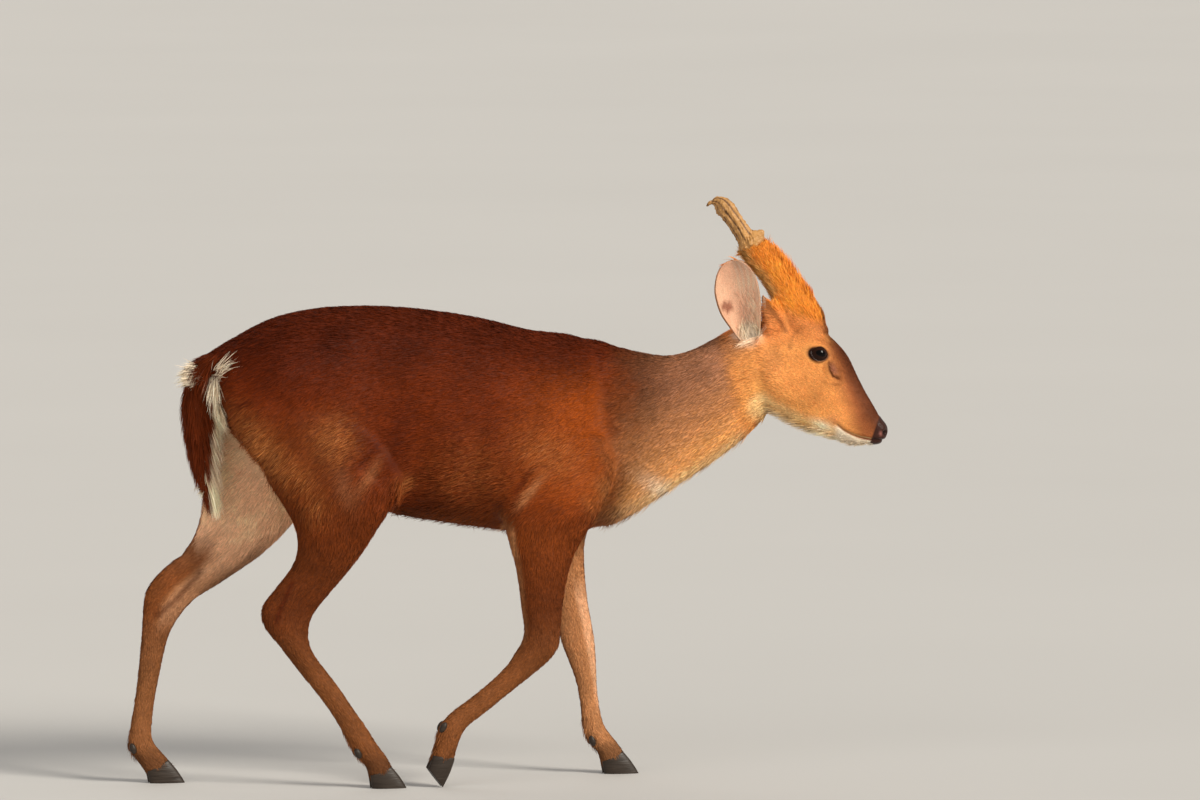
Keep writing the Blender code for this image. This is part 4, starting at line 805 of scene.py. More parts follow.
def ear(side, where):
    """A rolled cup: an open surface given its wall with Solidify."""
    rows = [(*p, h, r, a) for p, h, r, a in zip(EAR_MIDDLE, EAR_HALF, EAR_RISE, EAR_ROLL)]
    shape = bmesh.new()
    lines = []
    for x, y, z, half, rise, roll in between(rows, EAR_STEPS):
        roll = math.radians(max(roll, 20.0))
        wide = math.sin(min(roll, math.pi / 2))
        line = []
        for v in np.linspace(-1, 1, EAR_SPANS + 1):
            across = EAR_ACROSS * (half * math.sin(v * roll) / wide)
            lift = rise * (1 - math.cos(v * roll)) / (1 - math.cos(roll))
            place = Vector((x, y + lift, z)) + across
            line.append(shape.verts.new(sided(place, side)))
        lines.append(line)
    for low, high in zip(lines, lines[1:]):
        for s in range(EAR_SPANS):
            shape.faces.new((low[s], low[s + 1], high[s + 1], high[s]))
    made = mesh_object("ear", shape, where)
    wall = made.modifiers.new("wall", "SOLIDIFY")
    wall.thickness = EAR_WALL
    wall.offset = 0.0
    wall.use_rim = True
    apply_modifiers(made)
    made.data.transform(head_matrix())
    return made


def flesh_forms(where):
    """The overlapping forms that the skin is fused from."""
    items = [loft("torso_form", TORSO, where, 48), loft("neck_form", NECK, where, 40)]
    items += [loft(name + "_form", with_scrap(rows), where) for name, rows in limb_tables().items()]
    head = [loft("skull_form", SKULL, where, 40)]
    for side in (-1, 1):
        line = [sided(p, side) for p in (*PEDICLE_LINE[:-1], ANTLER_LINE[0])]
        head.append(tube("pedicle_form", line, PEDICLE_HALF, where, 24))
        head.append(ball("ear_root", sided(EAR_ROOT, side), EAR_ROOT_RADII, where))
        head.append(tube("ear_lobe_form", [sided(p, side) for p in EAR_LOBE], EAR_LOBE_HALF, where, 20))
    for item in head:
        item.data.transform(head_matrix())
    return items + head


def with_scrap(rows):
    """A limb's rows and a last one a little below the coronet, inside the claws."""
    last, before = rows[-1], rows[-2]
    return (*rows, tuple(a + (a - b) * 0.3 for a, b in zip(last[:4], before[:4])) + last[4:])


def coat_depth(points):
    """How deep the coat lies at each place of its outer surface."""
    local = in_head(points)
    depth = LEG_DEPTH + (BODY_DEPTH - LEG_DEPTH) * ramp(points[:, 2], 0.22, 0.42)
    on_head = ramp(local[:, 0], -0.060, 0.010)
    depth += (FACE_DEPTH - depth) * on_head
    depth += (PEDICLE_DEPTH - depth) * ramp(local[:, 2], 0.058, 0.090) * (1 - lobe_share(local)) * (local[:, 0] > -0.06)
    return depth * (1 - nose_share(local))


def lobe_share(local):
    """1 behind the crease that parts the ear's front lobe from the pedicle."""
    return 1 - ramp(local[:, 0] - (0.001 + (0.089 - local[:, 2]) * 0.77), 0.0, 0.004)


def nose_share(local):
    """1 on the bare nose pad and 0 behind it."""
    ahead = (local - np.array(NOSE_PLANE)) @ np.array(NOSE_FACING)
    return ramp(ahead, -0.0010, 0.0012) * (local[:, 0] > 0.13)


def eye_share(local, inner, outer):
    """1 within the inner ring round the eye's opening and 0 outside the outer one, in opening sizes."""
    share = np.zeros(len(local))
    for side in (-1, 1):
        arm = local - np.array(sided(EYE_PLACE, side))
        tilt = math.sin(EYE_SLANT)
        across = arm[:, 0] * math.cos(EYE_SLANT) + arm[:, 2] * tilt
        upward = -arm[:, 0] * tilt + arm[:, 2] * math.cos(EYE_SLANT)
        q = np.hypot(across / LID_LENGTH, upward / LID_HEIGHT)
        share = np.maximum(share, (1 - ramp(q, inner, outer)) * (np.linalg.norm(arm, axis=1) < 0.04))
    return share


def refined(item, wanted):
    """The faces in the wanted places split in four."""
    shape = bmesh.new()
    shape.from_mesh(item.data)
    chosen = wanted(points_of(item.data))
    edges = [e for e in shape.edges if chosen[e.verts[0].index] and chosen[e.verts[1].index]]
    bmesh.ops.subdivide_edges(shape, edges=edges, cuts=1, use_grid_fill=True)
    bmesh.ops.triangulate(shape, faces=[f for f in shape.faces if len(f.verts) > 4])
    shape.to_mesh(item.data)
    shape.free()


def fine_places(points):
    """Round the eyes, along the mouth and gland folds and at the nose."""
    local = in_head(points)
    near = np.zeros(len(points), bool)
    for side in (-1, 1):
        near |= np.linalg.norm(local - np.array(sided(EYE_PLACE, side)), axis=1) < 0.034
    near |= (near_line(local, MOUTH_LINE) < 0.010) & (local[:, 0] > 0.095)
    near |= (near_line(local, GLAND_LINE) < 0.010) & (local[:, 0] > 0.080)
    return near | (local[:, 0] > 0.148)


def join_share(points):
    """1 where ears and tail join the rest."""
    local = in_head(points)
    share = 1 - ramp(np.linalg.norm(points - np.array((-0.412, 0.0, 0.562)), axis=1), 0.022, 0.036)
    for side in (-1, 1):
        away = np.linalg.norm(local - np.array(sided((-0.014, 0.026, 0.036), side)), axis=1)
        share = np.maximum(share, 1 - ramp(away, 0.014, 0.026))
    return share


def tail_core():
    """The tail's rows drawn in by the depth of its long hair."""
    rows = []
    for ax, az, bx, bz, y, half, middle, square in TAIL[:-1]:
        rows.append((ax + 0.0045, az, bx - 0.0010, bz, y, half * 0.62, middle, square))
    return rows


def build_skin(where):
    """Flesh, ears and tail core as one closed skin under the coat."""
    skin = joined(flesh_forms(where), "skin", where)
    remeshed(skin, FORM_VOXEL)
    smooth_by_place(skin, FORM_SMOOTHING, form_share)
    remeshed(skin, FINE_VOXEL)
    smooth_by_place(skin, FINE_SMOOTHING, lambda points: np.ones(len(points)))
    refined(skin, fine_places)
    points = points_of(skin.data)
    put_points(skin.data, points - normals_of(skin.data) * coat_depth(points)[:, None])
    shape_flesh(skin)
    extras = collection("extras")
    for side, _ in SIDES:
        ear(side, extras)
    loft("tail_core", tail_core(), extras, 32, 6)
    boolean(skin, "UNION", others=extras, solver="MANIFOLD")
    remove(list(extras.objects))
    skin = largest(skin, "skin")
    smooth_by_place(skin, 6, join_share)
    thinned(skin, SKIN_TRIANGLES)
    for face in skin.data.polygons:
        face.use_smooth = True
    return skin


def unwrapped(item):
    """An unwrap of the item's own shape, as its UV map OFBake."""
    bpy.ops.object.select_all(action="DESELECT")
    item.select_set(True)
    bpy.context.view_layer.objects.active = item
    item.data.uv_layers.new(name="OFBake")
    bpy.ops.object.mode_set(mode="EDIT")
    bpy.ops.mesh.select_all(action="SELECT")
    bpy.ops.uv.smart_project(angle_limit=math.radians(66), island_margin=0.001)
    bpy.ops.object.mode_set(mode="OBJECT")


def waves(points, size, seed):
    """A smooth random field of about -1 to 1, whose patches are about so large."""
    rng = np.random.default_rng(seed)
    total = np.zeros(len(points))
    for _ in range(7):
        way = rng.normal(size=3)
        way *= rng.uniform(0.6, 1.7) * math.pi / size / np.linalg.norm(way)
        total += np.sin(points @ way + rng.uniform(0, 2 * math.pi))
    return total / 3.0


def mixed(base, colour, share):
    return base + (np.array(colour) - base) * np.clip(share, 0.0, 1.0)[:, None]


def spot(points, place, reach, lean=0.0):
    """A soft spot in side view: its middle, reach along x and z, and lean in degrees."""
    lean = math.radians(lean)
    dx, dz = points[:, 0] - place[0], points[:, 2] - place[1]
    u = (dx * math.cos(lean) + dz * math.sin(lean)) / reach[0]
    w = (-dx * math.sin(lean) + dz * math.cos(lean)) / reach[1]
    return np.exp(-(u**2 + w**2))


def limb_of(points):
    """For each place the nearest limb's number, the nearest place on its middle line and the way down there."""
    best = np.full(len(points), 9.0)
    down = np.tile((0.0, 0.0, -1.0), (len(points), 1))
    middle = np.zeros((len(points), 3))
    number = np.zeros(len(points), int)
    for index, rows in enumerate(limb_tables().values()):
        rows = np.array(rows)
        line = np.stack([(rows[:, 0] + rows[:, 2]) / 2, rows[:, 4], (rows[:, 1] + rows[:, 3]) / 2], axis=1)
        for a, b in zip(line, line[1:]):
            t = np.clip((points - a) @ (b - a) / ((b - a) @ (b - a)), 0, 1)
            away = np.linalg.norm(points - a - t[:, None] * (b - a), axis=1)
            closer = away < best
            best[closer] = away[closer]
            down[closer] = (b - a) / np.linalg.norm(b - a)
            middle[closer] = (a + t[:, None] * (b - a))[closer]
            number[closer] = index
    return number, middle, down


def regions(points):
    """Shares of legs, neck, head, pedicles, ears and tail at each place."""
    local = in_head(points)
    x, z = points[:, 0], points[:, 2]
    found = {}
    head = ramp(local[:, 0] + 0.25 * (local[:, 2] + 0.01), -0.052, -0.022) * (x > 0.2)
    ragged = 0.010 * waves(points, 0.018, 5)
    found["neck"] = ramp(x + 0.20 * (0.47 - z) + ragged, 0.092, 0.182) * (1 - head) * ramp(z, 0.335, 0.36)
    found["pedicle"] = ramp(local[:, 2] - 0.30 * (0.05 - local[:, 0]), 0.052, 0.066) * (1 - lobe_share(local)) * (x > 0.2)
    height, share, _, out, _ = ear_place(local)
    ahead = local[:, 0] + 0.5 * (local[:, 2] - 0.09)
    sheet = (np.abs(local[:, 1]) > out - 0.005) & (np.abs(share) < 1.3) & (height > 0.028) & (ahead < 0.006)
    found["ear"] = 1.0 * (sheet & (x > 0.2) & (local[:, 2] > 0.026))
    found["pedicle"] = found["pedicle"] * (1 - found["ear"])
    found["head"] = head
    tail_from = 0.391 + 0.0115 * (1 - ramp(z, 0.512, 0.520))
    found["tail"] = ramp(-x - tail_from, 0.0, 0.002) * (np.abs(points[:, 1]) < 0.031) * (z > 0.38) * (z < 0.585)
    found["leg"] = 1 - ramp(z, 0.335, 0.40 + 0.06 * (x < -0.15))
    return found


def streak_share(points):
    """Where the coat is streaked with paler hair and painted sheen."""
    share = np.zeros(len(points))
    for place, reach, lean, most in STREAKS:
        share = np.maximum(share, spot(points, place, reach, lean) * most)
    return share


def body_colour(points, normals):
    x, z = points[:, 0], points[:, 2]
    base = np.tile(np.array(CHESTNUT), (len(points), 1))
    base = mixed(base, BACK_AND_SHADE, ramp(z, 0.52, 0.61) * 0.8)
    base = mixed(base, BACK_AND_SHADE, spot(points, (-0.33, 0.59), (0.09, 0.05)) * 0.8)
    base = mixed(base, THIGH, ramp(-x, 0.20, 0.27) * (1 - ramp(z, 0.46, 0.54)))
    base = mixed(base, SHOULDER, ramp(x, -0.05, 0.10) * (1 - ramp(z, 0.50, 0.58)) * ramp(z, 0.34, 0.40))
    base = mixed(base, LEG_INSIDE, spot(points, (0.016, 0.398), (0.006, 0.028), -38.0) * 0.55)
    base = mixed(base, LEG_INSIDE, spot(points, (-0.205, 0.424), (0.008, 0.030), -38.0) * 0.30)
    # Paler streaks of hair with painted sheen over them
    base = mixed(base, SHINE, streak_share(points) * 0.35)
    base = mixed(base, GREY_STREAK, spot(points, (-0.236, 0.403), (0.013, 0.032), 15.0) * 0.6)
    # Painted shade under the middle of the body
    base = mixed(base, BACK_AND_SHADE, spot(points, (-0.060, 0.350), (0.080, 0.030)) * 0.7)
    base = mixed(base, BACK_AND_SHADE, spot(points, (-0.165, 0.470), (0.014, 0.070), -12.0) * 0.5)
    # Painted shade along the body's creases
    for line, width, share in zip(CREASE_SHADOWS, (0.0032, 0.0032, 0.0032, 0.0032, 0.0050, 0.0070), (0.75,) * 4 + (0.5, 0.4)):
        base = mixed(base, BACK_AND_SHADE, np.exp(-((near_line(points, line) / width) ** 2)) * share)
    # Painted shade on the lower flank, darker towards the bottom
    base = mixed(base, BACK_AND_SHADE, (1 - ramp(z, 0.355, 0.400)) * ramp(-x, -0.02, 0.02) * 0.7)
    base = mixed(base, BELLY, ramp(-normals[:, 2], 0.75, 0.95) * (x < 0.12) * (z > 0.30))
    return base


def neck_colour(points, normals):
    x = points[:, 0]
    low, high = near_line(points, NECK_UNDER), near_line(points, NECK_OVER)
    t = low / np.maximum(low + high, 1e-6)
    along = ramp(x, 0.14, 0.30)
    base = np.tile(np.array(NECK_DARK_AND_SHADE), (len(points), 1))
    base = mixed(base, NECK_GREY, along * 0.95)
    base = mixed(base, NECK_LIGHT, (1 - ramp(t, 0.30, 0.80)) * (0.35 + 0.65 * along))
    base = mixed(base, OCHRE, (1 - ramp(t, 0.10, 0.42)) * (0.45 + 0.55 * along))
    base = mixed(base, CREAM, (1 - ramp(t, 0.02, 0.16)) * 0.75)
    # Painted shadow on the chest in front of the foreleg
    base = mixed(base, NECK_DARK_AND_SHADE, spot(points, (0.140, 0.395), (0.016, 0.040), -20.0) * 0.7)
    return mixed(base, WHITE, spot(points, (0.212, 0.393), (0.034, 0.012), -32.0) * 0.6)


def leg_colour(points, normals):
    number, middle, down = limb_of(points)
    z = points[:, 2]
    outward = np.sign(middle[:, 1]) * normals[:, 1]
    ahead = (points[:, 2] - middle[:, 2]) * down[:, 0] - (points[:, 0] - middle[:, 0]) * down[:, 2]
    base = np.tile(np.array(LEG), (len(points), 1))
    base = mixed(base, THIGH, ramp(z, 0.28, 0.36) * (number < 2))
    base = mixed(base, SHOULDER, ramp(z, 0.22, 0.36) * (number > 1) * 0.35)
    base = mixed(base, FETLOCK, (1 - ramp(z, 0.12, 0.26)) * 0.7)
    inside = ramp(-outward, 0.15, 0.65)
    base = mixed(base, LEG_INSIDE, inside * np.where(number > 1, 0.85, 0.22 + 0.33 * ramp(z, 0.20, 0.26)))
    high = ramp(z, 0.27, 0.35) * (number < 2)
    base = mixed(base, THIGH_INSIDE, ramp(-outward, 0.05, 0.45) * high)
    gaskin = (number < 2) * ramp(z, 0.20, 0.24) * (1 - ramp(z, 0.315, 0.35))
    pale = 0.20 + 0.35 * ramp(z, 0.26, 0.31)
    base = mixed(base, THIGH_INSIDE, inside * gaskin * ramp(ahead, -0.004, 0.004) * pale)
    rear = ramp(-ahead - 0.027 * ramp(z, 0.285, 0.375), 0.000, 0.009)
    within = ramp(-outward, 0.0, 0.3)
    base = mixed(base, LEG, gaskin * rear * (1 - within) * 0.85)
    band = (number < 2) * ramp(z, 0.20, 0.24) * (1 - ramp(z, 0.40, 0.45))
    base = mixed(base, GASKIN_REAR, band * rear * within * 0.85)
    # Painted shade along the far gaskin's inner groove
    groove = np.exp(-((near_line(points, GASKIN_GROOVE_SHADE) / 0.0045) ** 2))
    base = mixed(base, BACK_AND_SHADE, groove * ramp(-outward, 0.1, 0.4) * (number == 1) * 0.6)
    edge = inside * ramp(ahead, 0.004, 0.011) * ramp(z, 0.07, 0.12) * (1 - ramp(z, 0.235, 0.28))
    base = mixed(base, THIGH_INSIDE, edge * (number > 1) * 0.5)
    base = mixed(base, GREY_STREAK, (number < 2) * inside * ramp(z, 0.24, 0.28) * ramp(ahead, 0.020, 0.030) * 0.6)
    # Painted shade along the crease down the near hind leg
    groove = near_line(points, CREASE_SHADOWS[2])
    base = mixed(base, BACK_AND_SHADE, np.exp(-((groove / 0.0032) ** 2)) * ramp(outward, 0.1, 0.4) * (number == 0) * 0.7)
    pale = np.exp(-((near_line(points, ELBOW_LINE) / 0.0032) ** 2)) * (number == 2)
    base = mixed(base, LEG_INSIDE, pale * 0.7)
    base = mixed(base, LEG_INSIDE, ramp(-normals[:, 0], 0.55, 0.9) * (number > 1) * ramp(z, 0.10, 0.3) * 0.4)
    return mixed(base, FOOT_DARK, (1 - ramp(z, 0.030, 0.058)) * 0.7)


def head_colour(local, normals):
    """The face. The normals are in the head's frame too."""
    x, z = local[:, 0], local[:, 2]
    flank = ramp(np.abs(normals[:, 1]), 0.30, 0.75)
    base = np.tile(np.array(CHEEK), (len(local), 1))
    base = mixed(base, NECK_GREY, (1 - ramp(x, -0.045, 0.005)) * ramp(z, -0.02, 0.02) * 0.7)
    base = mixed(base, BROW, ramp(z, 0.012, 0.040))
    base = mixed(base, MUZZLE, ramp(x + 0.35 * z, 0.080, 0.112))
    jaw = near_line(local, JAW_LINE)
    base = mixed(base, OCHRE, (1 - ramp(jaw, 0.020, 0.045)) * (1 - ramp(x, 0.086, 0.110)) * 0.9)
    base = mixed(base, CREAM, (1 - ramp(jaw, 0.008, 0.024)) * (1 - ramp(x, 0.100, 0.116)) * 0.85)
    under = ramp(-normals[:, 2], 0.70, 0.92) * (z < -0.05)
    base = mixed(base, CREAM, under * ramp(x, 0.000, 0.020))
    base = mixed(base, WHITE, (1 - ramp(jaw, 0.001, 0.007)) * ramp(x, 0.004, 0.030) * (z < -0.055) * 0.8)
    base = mixed(base, WHITE, spot(local, (0.086, -0.090), (0.014, 0.007), -25.0) * 0.8)
    mouth = np.interp(x, [p[0] for p in MOUTH_LINE], [p[1] for p in MOUTH_LINE])
    chin = (x > 0.100) * (1 - ramp(z - mouth, -0.003, -0.0005))
    base = mixed(base, WHITE, chin * ramp(x, 0.098, 0.108))
    base = mixed(base, NECK_GREY, spot(local, (0.100, -0.080), (0.009, 0.008)) * flank * 0.45)
    away = near_line(local, BRIDGE_LINE)
    width = 0.008 + 0.005 * ramp(x, 0.10, 0.135)
    base = mixed(base, BRIDGE_AND_SHADE, (1 - ramp(away, width * 0.4, width * 2.2)) * 0.9)
    base = mixed(base, BRIDGE_AND_SHADE, spot(local, (0.144, -0.076), (0.012, 0.016), -25.0) * 0.35)
    base = mixed(base, BRIDGE_AND_SHADE, spot(local, (0.106, 0.012), (0.010, 0.024), 20.0) * 0.35)
    base = mixed(base, BRIDGE_AND_SHADE, (1 - flank) * (z < 0.030) * ramp(x, 0.104, 0.118) * (normals[:, 2] > 0) * 0.9)
    base = mixed(base, BRIDGE_AND_SHADE, spot(local, (0.166, -0.102), (0.010, 0.012)) * 0.7)
    gland = near_line(local, GLAND_LINE)
    base = mixed(base, CARUNCLE_AND_HIGHLIGHT, spot(local, (0.0995, -0.0130), (0.0042, 0.0085), 25.0) * 0.6)
    base = mixed(base, BRIDGE_AND_SHADE, np.exp(-((gland / 0.0022) ** 2)) * 0.8)
    base = mixed(base, BRIDGE_AND_SHADE, spot(local, (0.1065, -0.0160), (0.0040, 0.0110), 25.0) * 0.4)
    # Painted shadow of a small slit behind the eye
    base = mixed(base, BRIDGE_AND_SHADE, spot(local, (0.042, 0.017), (0.002, 0.004)) * 0.7)
    # A dark ring round the eye: dark hair of the lids with painted shade of the lids
    base = mixed(base, BRIDGE_AND_SHADE, eye_share(local, 1.18, 1.62) * 0.75)
    base = mixed(base, CHEEK, spot(local, (0.088, 0.030), (0.012, 0.005), -35.0) * 0.5)
    base = mixed(base, WHITE, spot(local, (-0.014, 0.031), (0.015, 0.010)))
    # Painted shade in the creases below the gland and behind the eye
    base = mixed(base, BRIDGE_AND_SHADE, np.exp(-((near_line(local, FACE_CREASE_SHADOWS[0]) / 0.0016) ** 2)) * 0.35)
    base = mixed(base, BRIDGE_AND_SHADE, np.exp(-((near_line(local, FACE_CREASE_SHADOWS[1]) / 0.0022) ** 2)) * 0.35)
    base = mixed(base, NECK_GREY, spot(local, (0.020, 0.000), (0.014, 0.030), 10.0) * 0.25)
    base = mixed(base, EAR_OUTSIDE, spot(local, (0.004, 0.066), (0.010, 0.018), 10.0) * 0.8)
    # Painted shadow along the crease at the foot of the pedicle
    crease = near_line(local, ((0.004, 0.086), (0.018, 0.068), (0.030, 0.049), (0.035, 0.038)))
    return mixed(base, BRIDGE_AND_SHADE, np.exp(-((crease / 0.003) ** 2)) * 0.6)


def pedicle_colour(local, normals):
    base = np.tile(np.array(PEDICLE), (len(local), 1))
    base = mixed(base, PEDICLE_REAR, ramp(-normals[:, 0] - 0.5 * normals[:, 2], 0.15, 0.8))
    dark = near_line(local, PEDICLE_FRONT)
    inner = (np.abs(local[:, 1]) < 0.026) * ramp(normals[:, 0], 0.1, 0.5)
    base = mixed(base, PEDICLE_DARK, (1 - ramp(dark, 0.003, 0.010)) * inner * 0.9)
    return mixed(base, PEDICLE_DARK, ramp(local[:, 2], 0.120, 0.150) * 0.25)


def ear_place(local):
    """Height of the ear's row that each place lies on, its share of the way to the rim, and the cup's middle there."""
    table = np.array([(p[2], p[0], p[1], h, r) for p, h, r in zip(EAR_MIDDLE, EAR_HALF, EAR_RISE)])
    height = local[:, 2]
    for _ in range(3):
        across = (local[:, 0] - np.interp(height, table[:, 0], table[:, 1])) / EAR_ACROSS.x
        height = local[:, 2] - across * EAR_ACROSS.z
    x, y, half, rise = (np.interp(height, table[:, 0], table[:, k]) for k in (1, 2, 3, 4))
    return height, across / half, x, y, rise


def ear_inside(local, normals):
    """1 on the cup's inner face."""
    _, _, x, y, rise = ear_place(local)
    side = np.sign(local[:, 1])
    inward = np.stack([x - local[:, 0], side * (y + rise * 1.7) - local[:, 1], np.zeros(len(x))], axis=1)
    inward /= np.maximum(np.linalg.norm(inward, axis=1), 1e-6)[:, None]
    return ramp((normals * inward).sum(axis=1), -0.05, 0.20) * (local[:, 2] > 0.026)


def ear_colour(local, normals):
    """Pink inside with pale streaks, tan outside, with a dark patch low inside and a pale tuft at the root."""
    within = ear_inside(local, normals)
    height, share, _, _, _ = ear_place(local)
    base = np.tile(np.array(EAR_OUTSIDE), (len(local), 1))
    base = mixed(base, EAR_INSIDE, within)
    streak = np.sin(60 * np.arctan2(height - 0.035, share * 0.03 + 1e-4)) * 0.5 + 0.5
    base = mixed(base, WHITE, within * streak * ramp(share, -0.3, 0.6) * 0.6)
    blotch = spot(local, (-0.044, 0.071), (0.010, 0.011)) * (0.75 + 0.25 * waves(local, 0.006, 51))
    base = mixed(base, EAR_SHADE, ramp(blotch, 0.15, 0.7) * within * 0.9)
    base = mixed(base, EAR_SHADE, np.exp(-(((share - 0.1) / 0.16) ** 2 + ((height - 0.048) / 0.010) ** 2)) * within * 0.4)
    base = mixed(base, EAR_SHADE, within * ramp(height, 0.105, 0.130) * 0.25)
    return mixed(base, WHITE, ramp(spot(local, (-0.015, 0.036), (0.016, 0.014)), 0.2, 0.6))


def tail_colour(points, normals):
    """Brown behind, white in front, along the edges and at the tip."""
    x, z = points[:, 0], points[:, 2]
    base = np.tile(np.array(TAIL_BROWN_AND_SHADE), (len(points), 1))
    white = ramp(x + 0.4110 + 0.005 * (1 - ramp(z, 0.500, 0.520)), -0.001, 0.002)
    white *= 1 - ramp(-x - 0.4140, 0.0, 0.002) * (1 - ramp(z, 0.410, 0.430))
    return mixed(base, TAIL_WHITE, white * (1 - ramp(z, 0.560, 0.568)))


def coat_colour(points, normals):
    """The coat's colour at each place, linear RGB."""
    found = regions(points)
    turn = np.array(head_matrix().to_3x3())
    local, aimed = in_head(points), normals @ turn
    base = body_colour(points, normals)
    base = mixed(base, (0, 0, 0), found["neck"])
    base += neck_colour(points, normals) * found["neck"][:, None]
    for name, colour in (
        ("leg", leg_colour(points, normals)),
        ("head", head_colour(local, aimed)),
        ("pedicle", pedicle_colour(local, aimed)),
        ("ear", ear_colour(local, aimed)),
        ("tail", tail_colour(points, normals)),
    ):
        share = found[name][:, None]
        base = base * (1 - share) + colour * share
    inner = ramp(-np.sign(points[:, 1]) * normals[:, 1], 0.05, 0.5) * (points[:, 0] < -0.2)
    low = ramp(points[:, 2], 0.30, 0.36) * (1 - ramp(points[:, 2], 0.49, 0.54)) * (found["tail"] < 0.5)
    base = mixed(base, THIGH_INSIDE, inner * low * (points[:, 0] > -0.415))
    # Painted shadow of the tail's edge: a dark band on the inner thigh beneath it
    line = np.exp(-(((points[:, 0] + 0.3875) / 0.0026) ** 2)) * ramp(points[:, 2], 0.37, 0.39)
    base = mixed(base, TAIL_BROWN_AND_SHADE, line * inner * (1 - ramp(points[:, 2], 0.54, 0.56)) * 0.85)
    patches = 1 + 0.10 * waves(points, 0.035, 3) + 0.06 * waves(points, 0.009, 4)
    return np.clip(base * patches[:, None], 0.0, 0.95)


def lie(points, normals):
    """The way the hair points at each place, in the skin's plane."""
    found = regions(points)
    x, z = points[:, 0], points[:, 2]
    steep = 0.22 + 0.70 * spot(points, (-0.32, 0.46), (0.09, 0.10)) + 0.40 * spot(points, (0.05, 0.45), (0.08, 0.08))
    way = np.stack([-np.ones(len(x)), np.zeros(len(x)), -steep], axis=1)
    _, _, down = limb_of(points)
    neck = np.tile((-0.86, 0.0, -0.50), (len(x), 1))
    turn = np.array(head_matrix().to_3x3())
    local = in_head(points)
    back = np.stack([-np.ones(len(x)), np.sign(local[:, 1]) * 0.12, 0.55 - 0.9 * ramp(-local[:, 0], -0.06, 0.02)], axis=1)
    up = np.stack([np.full(len(x), -0.46), np.sign(local[:, 1]) * 0.10, np.full(len(x), 0.88)], axis=1)
    tip = np.stack([np.full(len(x), -0.20), np.sign(local[:, 1]) * 0.22, np.full(len(x), 0.95)], axis=1)
    fall = np.stack([np.full(len(x), 0.02), np.sign(points[:, 1]) * 0.12, -np.ones(len(x))], axis=1)
    for name, wanted in (
        ("neck", neck),
        ("leg", down),
        ("head", back @ turn.T),
        ("pedicle", up @ turn.T),
        ("ear", tip @ turn.T),
        ("tail", fall),
    ):
        share = found[name][:, None]
        way = way * (1 - share) + wanted * share
    way -= normals * (way * normals).sum(axis=1)[:, None]
    return way / np.maximum(np.linalg.norm(way, axis=1), 1e-6)[:, None]


def tuft_sizes(points, normals):
    """Length, width, lift as a share of the length, and how many a square metre, at each place."""
    found = regions(points)
    local = in_head(points)
    aimed = normals @ np.array(head_matrix().to_3x3())
    z = points[:, 2]
    count = len(points)
    length, width = np.full(count, 0.0115), np.full(count, 0.00072)
    lift, many = np.full(count, 0.12), np.full(count, 0.56e6)

    def blend(share, values):
        for array, value in zip((length, width, lift, many), values):
            array += (value - array) * share

    blend(streak_share(points), (0.0170, 0.00080, 0.13, 0.56e6))
    blend(found["neck"], (0.0095, 0.00062, 0.14, 0.75e6))
    blend(found["leg"] * (1 - ramp(z, 0.24, 0.40)), (0.0068, 0.00060, 0.12, 1.00e6))
    face = found["head"] * ramp(local[:, 0], -0.02, 0.05)
    blend(found["head"], (0.0085, 0.00060, 0.13, 1.00e6))
    blend(face, (0.0048, 0.00046, 0.13, 1.90e6))
    blend(found["head"] * ramp(local[:, 0] - 0.4 * local[:, 2], 0.11, 0.16), (0.0030, 0.00038, 0.12, 2.60e6))
    blend(found["pedicle"], (0.0100, 0.00060, 0.30, 1.60e6))
    within = ear_inside(local, aimed)
    _, share, _, _, _ = ear_place(local)
    rim = np.maximum(ramp(np.abs(share), 0.70, 0.95), ramp(local[:, 2], 0.112, 0.128))
    blend(found["ear"], (0.0042, 0.00042, 0.12, 1.90e6))
    blend(found["ear"] * within, (0.0050, 0.00030, 0.12, 0.55e6))
    length[:] = length * (1 - 0.45 * rim * found["ear"])
    blend(found["tail"], (0.0200, 0.00090, 0.16, 1.10e6))
    near_eye = eye_share(local, 1.25, 2.6)
    length[:] = length * (1 - 0.70 * near_eye)
    bare = bare_share(points, normals)
    many[:] = many * (bare < 0.35)
    return length, width, lift, many


def bare_share(points, normals):
    """1 on the nose pad, the lid rims, the lips' edges and inside the claws."""
    local = in_head(points)
    bare = nose_share(local)
    bare = np.maximum(bare, eye_share(local, 1.12, 1.34) * (local[:, 0] > 0.03))
    lips = (1 - ramp(near_line(local, MOUTH_LINE), 0.0012, 0.0024)) * (local[:, 0] > 0.104)
    return np.maximum(bare, lips)


def skin_colour(points, normals):
    """The skin under the coat and where it is bare, with painted shade in the nostrils and a painted highlight at them.
    """
    local = in_head(points)
    base = coat_colour(points, normals) * 0.72
    base = mixed(base, EYE_RIM, eye_share(local, 1.14, 1.36) * (local[:, 0] > 0.03))
    lips = (1 - ramp(near_line(local, MOUTH_LINE), 0.0008, 0.0022)) * (local[:, 0] > 0.104)
    base = mixed(base, LIP_SKIN, lips * 0.4)
    base = mixed(base, NOSE_SKIN, nose_share(local))
    # Painted shade inside the nostrils
    for side in (-1, 1):
        off = (local - np.array(sided(NOSTRIL_PLACE, side))) / np.array(NOSTRIL_RADII)
        base = mixed(base, PUPIL_AND_SHADE, np.exp(-(off**2).sum(axis=1) * 1.2))
    # Painted highlight: a pink glint at the nostril on the nose pad
    return mixed(base, CARUNCLE_AND_HIGHLIGHT, spot(local, (0.1625, -0.0990), (0.0018, 0.0030)) * nose_share(local) * 0.6)


